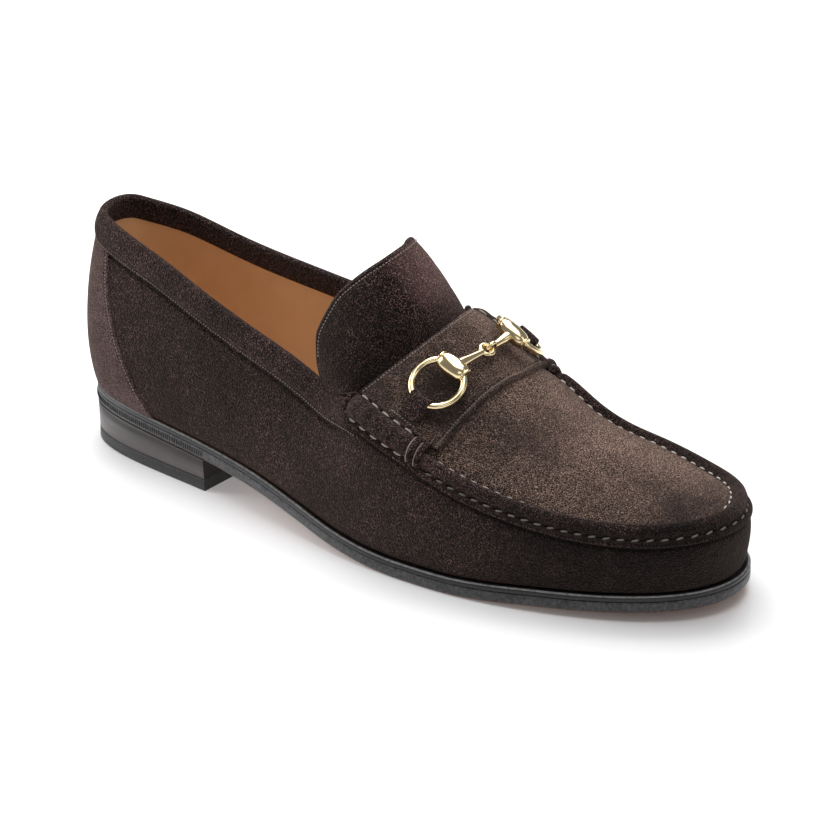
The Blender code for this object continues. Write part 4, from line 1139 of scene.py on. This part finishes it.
def build_saddle():
    across = np.linspace(-SADDLE_REACH - 0.02, SADDLE_REACH + 0.02, 181)
    share = np.linspace(0, 1, 121)
    share = 0.3 * share + 0.35 * (1 - np.cos(np.pi * share))
    x = SADDLE_REAR + (saddle_front(across)[None, :] - SADDLE_REAR) * share[:, None]
    base = instep_point(x, across[None, :])
    normal = instep_normal(x, np.broadcast_to(across, x.shape))
    from_rear = run_along(base)
    from_front = from_rear[-1] - from_rear
    height = saddle_height(from_rear, from_front) + undulation(base, 0.014, 0.00022, 7.0)
    points = base + normal * height[..., None]
    # Painted light: the strap is darker towards its lateral end and lighter towards its medial end
    nap = -0.19 + 0.34 * smooth_step((across[None, :] + 0.3) / 0.7) + 0 * x
    add_sheet("saddle_strap", points, normal, suede_warm, nodes=("saddle",), slot="suede_warm_brown", nap=nap)
    column = np.arange(len(across))
    for name, away in (("front", from_front - SADDLE_FRONT_SEAM), ("rear", from_rear - SADDLE_REAR_SEAM)):
        at = np.argmin(np.abs(away), axis=0)
        out = normal[at, column]
        add_seam("saddle_stitches_" + name, points[at, column] + out * THREAD_LIFT, out, 0.0009,
                 FINE_THREAD * 1.25, slot="suede_warm_brown")


def tongue_grid(rows, columns):
    """Tongue's outer face: rows under the saddle, then up to its free edge."""
    across = np.linspace(-1, 1, columns)
    width = across * TONGUE_REACH
    away = np.abs(across)
    back, rise, inward = (smooth_table(TONGUE_EDGE, column)(away) * TONGUE_LENGTH for column in (1, 2, 3))
    rear = instep_point(SADDLE_REAR - TONGUE_BEND, width)
    edge = rear + np.stack([-back, -np.sign(across) * inward, rise], axis=-1)
    swell = np.stack([1 - 0.5 * away, 0.9 * across, np.full(len(across), 0.5)], axis=-1)
    swell = TONGUE_BULGE * unit(swell)
    root = instep_point(THROAT - TONGUE_CLEARANCE, width)
    grid = [root, (root + rear) / 2]
    for share in np.linspace(0, 1, rows):
        grid.append(rear + (edge - rear) * share + swell * 4 * share * (1 - share))
    return np.stack(grid)


def build_tongue():
    grid = tongue_grid(90, 141)
    across = np.linspace(-1, 1, grid.shape[1])
    outward = np.stack([0.4 + 0 * across, 1.2 * across, 0.8 - 0.5 * np.abs(across)], axis=-1)
    normal = grid_normals(grid, outward)
    free = grid[-1]
    distance = np.stack([np.linalg.norm(row[:, None] - free[None], axis=2).min(axis=1) for row in grid])
    groove = 0.00022 * hump(distance, TONGUE_SEAM, 0.0005)
    relief = undulation(grid, 0.012, 0.00035, 11.0) - groove
    outer = grid + normal * relief[..., None]
    lit = smooth_step((grid[..., 1] + 0.026) / 0.022) * smooth_step((grid[..., 2] - 0.076) / 0.022)
    nap = (-0.08 + 0.95 * lit).reshape(-1)
    rim = np.zeros(5 * (2 * sum(grid.shape[:2]) - 4))
    add_thick_sheet("tongue_flap", outer, normal, TONGUE_THICKNESS, suede_dark, lining_leather,
                    nodes=("tongue",), slot="suede_warm_brown", nap=np.concatenate([nap, nap, rim]))
    along = unit(np.gradient(free, axis=0))
    out = normal[-1]
    inward = np.cross(out, along)
    inward = inward * np.sign((inward * (grid[-6] - free)).sum(axis=1, keepdims=True))
    seam = free + inward * TONGUE_SEAM + out * THREAD_LIFT
    add_seam("tongue_stitches", seam[4:-4], out[4:-4], 0.0009, FINE_THREAD * 1.1, slot="suede_warm_brown")


# Side rolls

def roll_frame(share, medial):
    """Middle of the roll's base, half its width towards the wall, its lift and the seam's height in it."""
    x = ROLL_START + ROLL_LENGTH * share
    turn = np.array([top_turn(x, medial)])
    side = 1.0 if medial else -1.0
    chord = float(np.linalg.norm(top_point(1 - turn) - top_point(turn)))
    top = top_point(turn)[0]
    wall = wall_grid(turn, np.array([[ROLL_OUTER]]))[0, 0]
    plug = instep_point(x, side * (1 - ROLL_INNER * 2 / chord))
    out = wall - plug
    lift = unit(np.cross(np.cross(out, UP), out))
    lift = lift if lift[2] > 0 else -lift
    middle = (wall + plug) / 2
    return middle, out / 2, lift, float(((top - middle) * lift).sum())


def roll_point(share, angle, medial):
    """Skin of the roll: share of its length, angle from the wall side over its top to the plug side."""
    middle, half, lift, crest = roll_frame(share, medial)
    tight = 0.5 + 0.5 * math.cos(2 * math.pi * (share * ROLL_LENGTH / ROLL_PITCH - 0.35))
    full = 0.25 + 0.75 * math.sqrt(max(0.0, 1 - abs(2 * share - 1) ** 6))
    width = 1 - (0.13 if angle < math.pi / 2 else 0.07) * tight ** 2
    width = width * (0.86 + 0.14 * full)
    height = (crest + ROLL_HEIGHT * full) * (1 - 0.05 * tight)
    rise = math.sin(min(max(angle, 0.0), math.pi))
    sink = min(angle, 0.0) + min(math.pi - angle, 0.0)
    return middle + half * math.cos(angle) * width + lift * (height * rise**0.68 + sink * 0.004)


def build_roll(medial):
    name = "medial" if medial else "lateral"
    shares = np.linspace(0, 1, 110)
    angles = np.linspace(-0.25, math.pi + 0.25, 44)
    grid = np.array([[roll_point(s, a, medial) for a in angles] for s in shares])
    outward = np.repeat([[roll_frame(s, medial)[2]] for s in shares], len(angles), axis=1)
    grid = grid + outward * undulation(grid, 0.009, 0.00015, 2.0)[..., None]
    rows, columns = grid.shape[:2]
    count = rows * columns
    flip = facing(grid, outward)
    points = np.concatenate([grid.reshape(-1, 3), [grid[0].mean(axis=0), grid[-1].mean(axis=0)]])
    faces = grid_faces(rows, columns, flip=flip)
    faces += fan(0, columns, count, not flip) + fan(count - columns, columns, count + 1, flip)
    # The rear end is paler: pale wear with a painted highlight on its rounded rim
    nap = 0.20 + 0.54 * smooth_step((ROLL_START + 0.004 - points[:, 0]) / 0.005)
    add_mesh("roll_" + name, points, faces, suede_dark, nodes=("side_roll_" + name,),
             slot="suede_dark_brown", nap=nap)
    shares = [share for share in (0.0050 + ROLL_PITCH * np.arange(5)) / ROLL_LENGTH if share <= 0.93]
    for edge, angle, dash in (("inner", math.pi * 0.90, 0.0038), ("outer", math.pi * 0.07, 0.0036)):
        centres = np.array([roll_point(share, angle, medial) for share in shares])
        ahead = np.array([roll_point(share + 0.04, angle, medial) for share in shares])
        normals = unit(centres - np.array([roll_frame(share, medial)[0] for share in shares]))
        add_stitches("roll_stitches_%s_%s" % (edge, name), centres + normals * 0.0002, ahead - centres,
                     normals, dash, HAND_THREAD * 0.9, thread_pale)
    build_cinch(name, medial)


def joined(bodies):
    """Points and faces of several bodies as one mesh."""
    points = []
    faces = []
    total = 0
    for body, own in bodies:
        points.append(body)
        faces += [[k + total for k in face] for face in own]
        total += len(body)
    return np.concatenate(points), faces


def tube(path, radius, sides):
    """Round tube along a path, closed at both ends."""
    tangent = unit(np.gradient(path, axis=0))
    side = unit(np.cross(tangent, path.mean(axis=0) - path[0] + UP * 1e-3))
    rings = path[:, None] + radius * circle(side, np.cross(tangent, side), sides)
    faces = grid_faces(len(path), sides, wrap_columns=True, flip=True) + end_faces(len(path), sides)
    return rings.reshape(-1, 3), faces


def build_cinch(name, medial):
    """Loops that draw the front end of the roll together."""
    bulges = []
    threads = []
    angles = np.linspace(0.02, math.pi - 0.02, 26)
    for share, swell in ((-0.045, -0.0012), (0.945, 0.0001), (1.02, -0.0001)):
        nearest = min(max(share, 0.03), 0.985)
        arch = np.array([roll_point(nearest, a, medial) for a in angles])
        middle = roll_frame(share, medial)[0]
        arch = arch + (middle - roll_frame(nearest, medial)[0])
        out = unit(arch - middle)
        bulges.append(arch + out * swell)
        if share > 0:
            threads.append((arch + out * (swell + 0.0012) - np.array([0.0009, 0.0, 0.0]))[3:-5])
    points, faces = joined([tube(path, CINCH_RADIUS, 12) for path in bulges])
    add_mesh("cinch_leather_" + name, points, faces, suede_dark, slot="suede_dark_brown",
             nap=np.full(len(points), 0.12))
    points, faces = joined([tube(path, 0.00019, 8) for path in threads])
    add_mesh("cinch_thread_" + name, points, faces, thread_fine, slot="suede_dark_brown")


# Metal bit and its tabs

def saddle_frame(x, across, lift):
    base = Vector(instep_point(x, across))
    normal = Vector(instep_normal(x, across))
    return base + normal * (FIT_GAP + SADDLE_THICKNESS + lift), normal


def bit_frames():
    """Place and axes of each ring, and of the link between the two halves."""
    link, link_normal = saddle_frame(LINK_PLACE, LINK_REACH, LINK_LIFT)
    frames = []
    for side, lift in zip((-1, 1), RING_LIFT):
        centre, normal = saddle_frame(RING_PLACE, side * RING_REACH, lift)
        inward = link - centre
        inward = (inward - normal * inward.dot(normal)).normalized()
        fore = normal.cross(inward)
        turn = Matrix.Rotation(RING_TILT, 3, fore)
        tilted = inward.copy()
        tilted.rotate(turn)
        if (centre + tilted).z < (centre + inward).z:
            turn = Matrix.Rotation(-RING_TILT, 3, fore)
            tilted = inward.copy()
            tilted.rotate(turn)
        normal.rotate(turn)
        frames.append([np.array(v) for v in (centre, tilted, normal.cross(tilted), normal)])
    return frames, np.array(link), np.array(link_normal)


def turned_body(centres, radii, across, squash=1.0, sides=40):
    """Round body through centres, squashed at right angles to the across direction."""
    axis = unit(centres[-1] - centres[0])
    across = unit(across - axis * np.dot(across, axis))
    ring = circle(across, np.cross(axis, across) * squash, sides)
    grid = centres[:, None] + radii[:, None, None] * ring[None]
    faces = grid_faces(len(centres), sides, wrap_columns=True, flip=True) + end_faces(len(centres), sides)
    return grid.reshape(-1, 3), faces


def ring_body(centre, first, second, radius, wire, around=96, sides=24):
    normal = np.cross(first, second)
    angle = 2 * np.pi * np.arange(sides) / sides
    grid = centre + circle(first, second, around)[:, None] * (radius + wire * np.cos(angle))[None, :, None]
    grid = grid + normal * (wire * np.sin(angle))[None, :, None]
    return grid.reshape(-1, 3), grid_faces(around, sides, True, True)


def build_bit():
    """Both halves: ring, ferrule, tapered bar and eye. The medial half's eye is the hook in the other."""
    frames, link, link_normal = bit_frames()
    place, full = np.array(FERRULE_PROFILE).T
    share, extra = np.array(BAR_PROFILE).T
    bar = BAR_TIP_RADIUS + (BAR_ROOT_RADIUS - BAR_TIP_RADIUS) * extra
    for side, (centre, inward, fore, normal) in zip(("lateral", "medial"), frames):
        hook = side == "medial"
        bodies = [ring_body(centre, inward, fore, RING_RADIUS, RING_WIRE)]
        middle = centre + inward * (RING_RADIUS - FERRULE_INSET)
        axis = unit(link - middle)
        ends = middle + fore * (FERRULE_LENGTH / 2 * place)[:, None]
        bodies.append(turned_body(ends, FERRULE_RADIUS * full, inward, FERRULE_FLATTEN))
        radius = HOOK_RADIUS if hook else EYE_RADIUS
        wire = HOOK_WIRE if hook else EYE_WIRE
        flat = unit(np.cross(axis, link_normal))
        upright = np.cross(flat, axis)
        eye_centre = link - axis * (EYE_RADIUS if hook else 0.0)
        bodies.append(ring_body(eye_centre, axis, upright if hook else flat, radius, wire, 48, 16))
        end = eye_centre - axis * radius
        bodies.append(turned_body(middle + (end - middle) * share[:, None], bar, normal, 1.0, 24))
        points, faces = joined(bodies)
        add_mesh("bit_" + side, points, faces, gold, nodes=("bit_half_" + side,), slot="pale_gold", sharp=50)


def build_tabs():
    """Folded leather tabs that hold the rings."""
    frames, _, _ = bit_frames()
    outer = RING_WIRE + FIT_GAP + TAB_LEATHER
    for side, name, (centre, inward, fore, normal) in zip((-1, 1), ("lateral", "medial"), frames):
        seat = np.array(saddle_frame(RING_PLACE, side * TAB_REACH, FIT_GAP + TAB_LEATHER)[0])
        sections = []
        for share in (-0.5, -0.495, -0.47, -0.4, -0.2, 0.0, 0.2, 0.4, 0.47, 0.495, 0.5):
            offset = fore * (share * TAB_WIDTH)
            reach = math.sqrt(RING_RADIUS**2 - float(offset @ offset))
            wire = centre - inward * reach + offset
            end = seat + fore * float((wire - seat) @ fore)
            along = unit(end - wire)
            up = np.cross(fore, along)
            up = up if up @ normal > 0 else -up
            shrink = 1 - 0.5 * max(0.0, (abs(share) - 0.47) / 0.03) ** 2
            thinned = (1 - shrink) * TAB_LEATHER
            run = float(np.linalg.norm(end - wire))
            skin = []
            for degree in range(270, 89, -12):
                a = math.radians(degree)
                skin.append(wire + (along * math.cos(a) + up * math.sin(a)) * (outer - thinned))
            for part in (0.15, 0.3, 0.5, 0.7, 0.85, 0.93):
                height = outer + (TAB_LEATHER * 1.1 - outer) * smooth_step(part * 1.1)
                skin.append(wire + along * run * part + up * (height - thinned))
            skin.append(end + up * TAB_LEATHER * 0.9 * shrink)
            skin.append(end + along * 0.0004)
            skin.append(end - up * TAB_LEATHER * shrink)
            sections.append(np.array(skin))
        grid = np.stack(sections)
        rows, columns = grid.shape[:2]
        flip = facing(grid, normal)
        faces = grid_faces(rows, columns, wrap_columns=True, flip=flip)
        ends = end_faces(rows, columns)
        faces += [end[::-1] for end in ends] if flip else ends
        add_mesh("tab_" + name, grid, faces, suede_dark, nodes=("ring_tab_" + name,), slot="suede_dark_brown",
                 nap=np.repeat([-0.1, 0.2] + [0.42] * 7 + [0.2, -0.1], columns), sharp=70)
        across = np.linspace(-0.62, 0.62, 9)[:, None] * fore * TAB_WIDTH
        base = seat + across + unit(seat - centre) * 0.0014 - normal * TAB_LEATHER * 0.4
        add_stitches("tab_stitches_" + name, base, np.tile(fore, (9, 1)), np.tile(normal, (9, 1)), 0.0009,
                     FINE_THREAD * 1.1, thread_fine)


def dress_insole():
    """The insole keeps its CAD shape."""
    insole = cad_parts["insole"]
    insole.data.materials.clear()
    insole.data.materials.append(lining_leather)


# Studio

CAMERA_AZIMUTH = math.radians(37.62)
CAMERA_ELEVATION = math.radians(24.32)
CAMERA_DISTANCE = 2.9995
CAMERA_TARGET = (0.150, 0.0, 0.040)
CAMERA_LENS = 334.7
FLOOR_REACH = 6.0


# Area lights: name, place, height of the point they face over the middle, size, power
LIGHTS = (
    ("key", (-0.55, 0.75, 1.35), 0.03, (1.2, 1.2), 24),
    ("top", (0.15, 0.1, 1.7), 0.0, (1.6, 1.6), 20),
    ("left", (-1.5, -0.6, 0.8), 0.03, (0.9, 1.2), 13),
    ("right", (1.4, 0.3, 0.7), 0.03, (0.6, 1.0), 2),
    ("front", (1.5, -2.0, 1.3), 0.05, (1.4, 1.0), 5),
)


def aim(thing, place, direction):
    thing.location = place
    thing.rotation_mode = "QUATERNION"
    thing.rotation_quaternion = direction.to_track_quat("-Z", "Y")


def build_studio():
    """White floor, grey sky and the lights. The floor's own glow fades towards the toe."""
    made, tree, shader = new_material("studio_floor")
    set_inputs(shader, {"Base Color": (0.93, 0.93, 0.935, 1), "Roughness": 0.10, "Specular IOR Level": 0.9,
                        "Emission Color": (0.97, 0.985, 1, 1)})
    glow = arithmetic(tree, "MAXIMUM", arithmetic(tree, "SUBTRACT", 0.165, object_axis(tree, "X")), 0.0)
    tree.links.new(arithmetic(tree, "MINIMUM", glow, 0.22), shader.inputs["Emission Strength"])
    mesh = bpy.data.meshes.new("studio_floor")
    corners = [(x * FLOOR_REACH, y * FLOOR_REACH, 0) for x, y in ((-1, -1), (1, -1), (1, 1), (-1, 1))]
    mesh.from_pydata(corners, [], [(0, 1, 2, 3)])
    mesh.materials.append(made)
    floor = add_object("studio_floor", mesh)
    world = bpy.data.worlds.new("studio")
    world.use_nodes = True
    set_inputs(world.node_tree.nodes["Background"], {"Color": (1, 1, 1, 1), "Strength": 0.22})
    bpy.context.scene.world = world
    bpy.context.scene.view_settings.view_transform = "Standard"
    for name, place, target, size, power in LIGHTS:
        data = bpy.data.lights.new(name, "AREA")
        data.shape = "RECTANGLE"
        data.size, data.size_y = size
        data.energy = power
        aim(add_object(name, data), place, Vector((0, 0, target)) - Vector(place))


def build_camera():
    a, e = CAMERA_AZIMUTH, CAMERA_ELEVATION
    back = Vector((math.sin(a) * math.cos(e), -math.cos(a) * math.cos(e), math.sin(e)))
    data = bpy.data.cameras.new("camera")
    data.lens = CAMERA_LENS
    data.sensor_width = 36.0
    camera = add_object("camera", data)
    aim(camera, Vector(CAMERA_TARGET) + Vector(SHIFT) + back * CAMERA_DISTANCE, -back)
    bpy.context.scene.camera = camera


build_sole()
build_heel()
build_wheeling()
build_wall()
build_plug()
build_apron_stitches()
build_band()
build_counter()
build_saddle()
build_tongue()
build_roll(False)
build_roll(True)
build_bit()
build_tabs()
dress_insole()
build_studio()
build_camera()
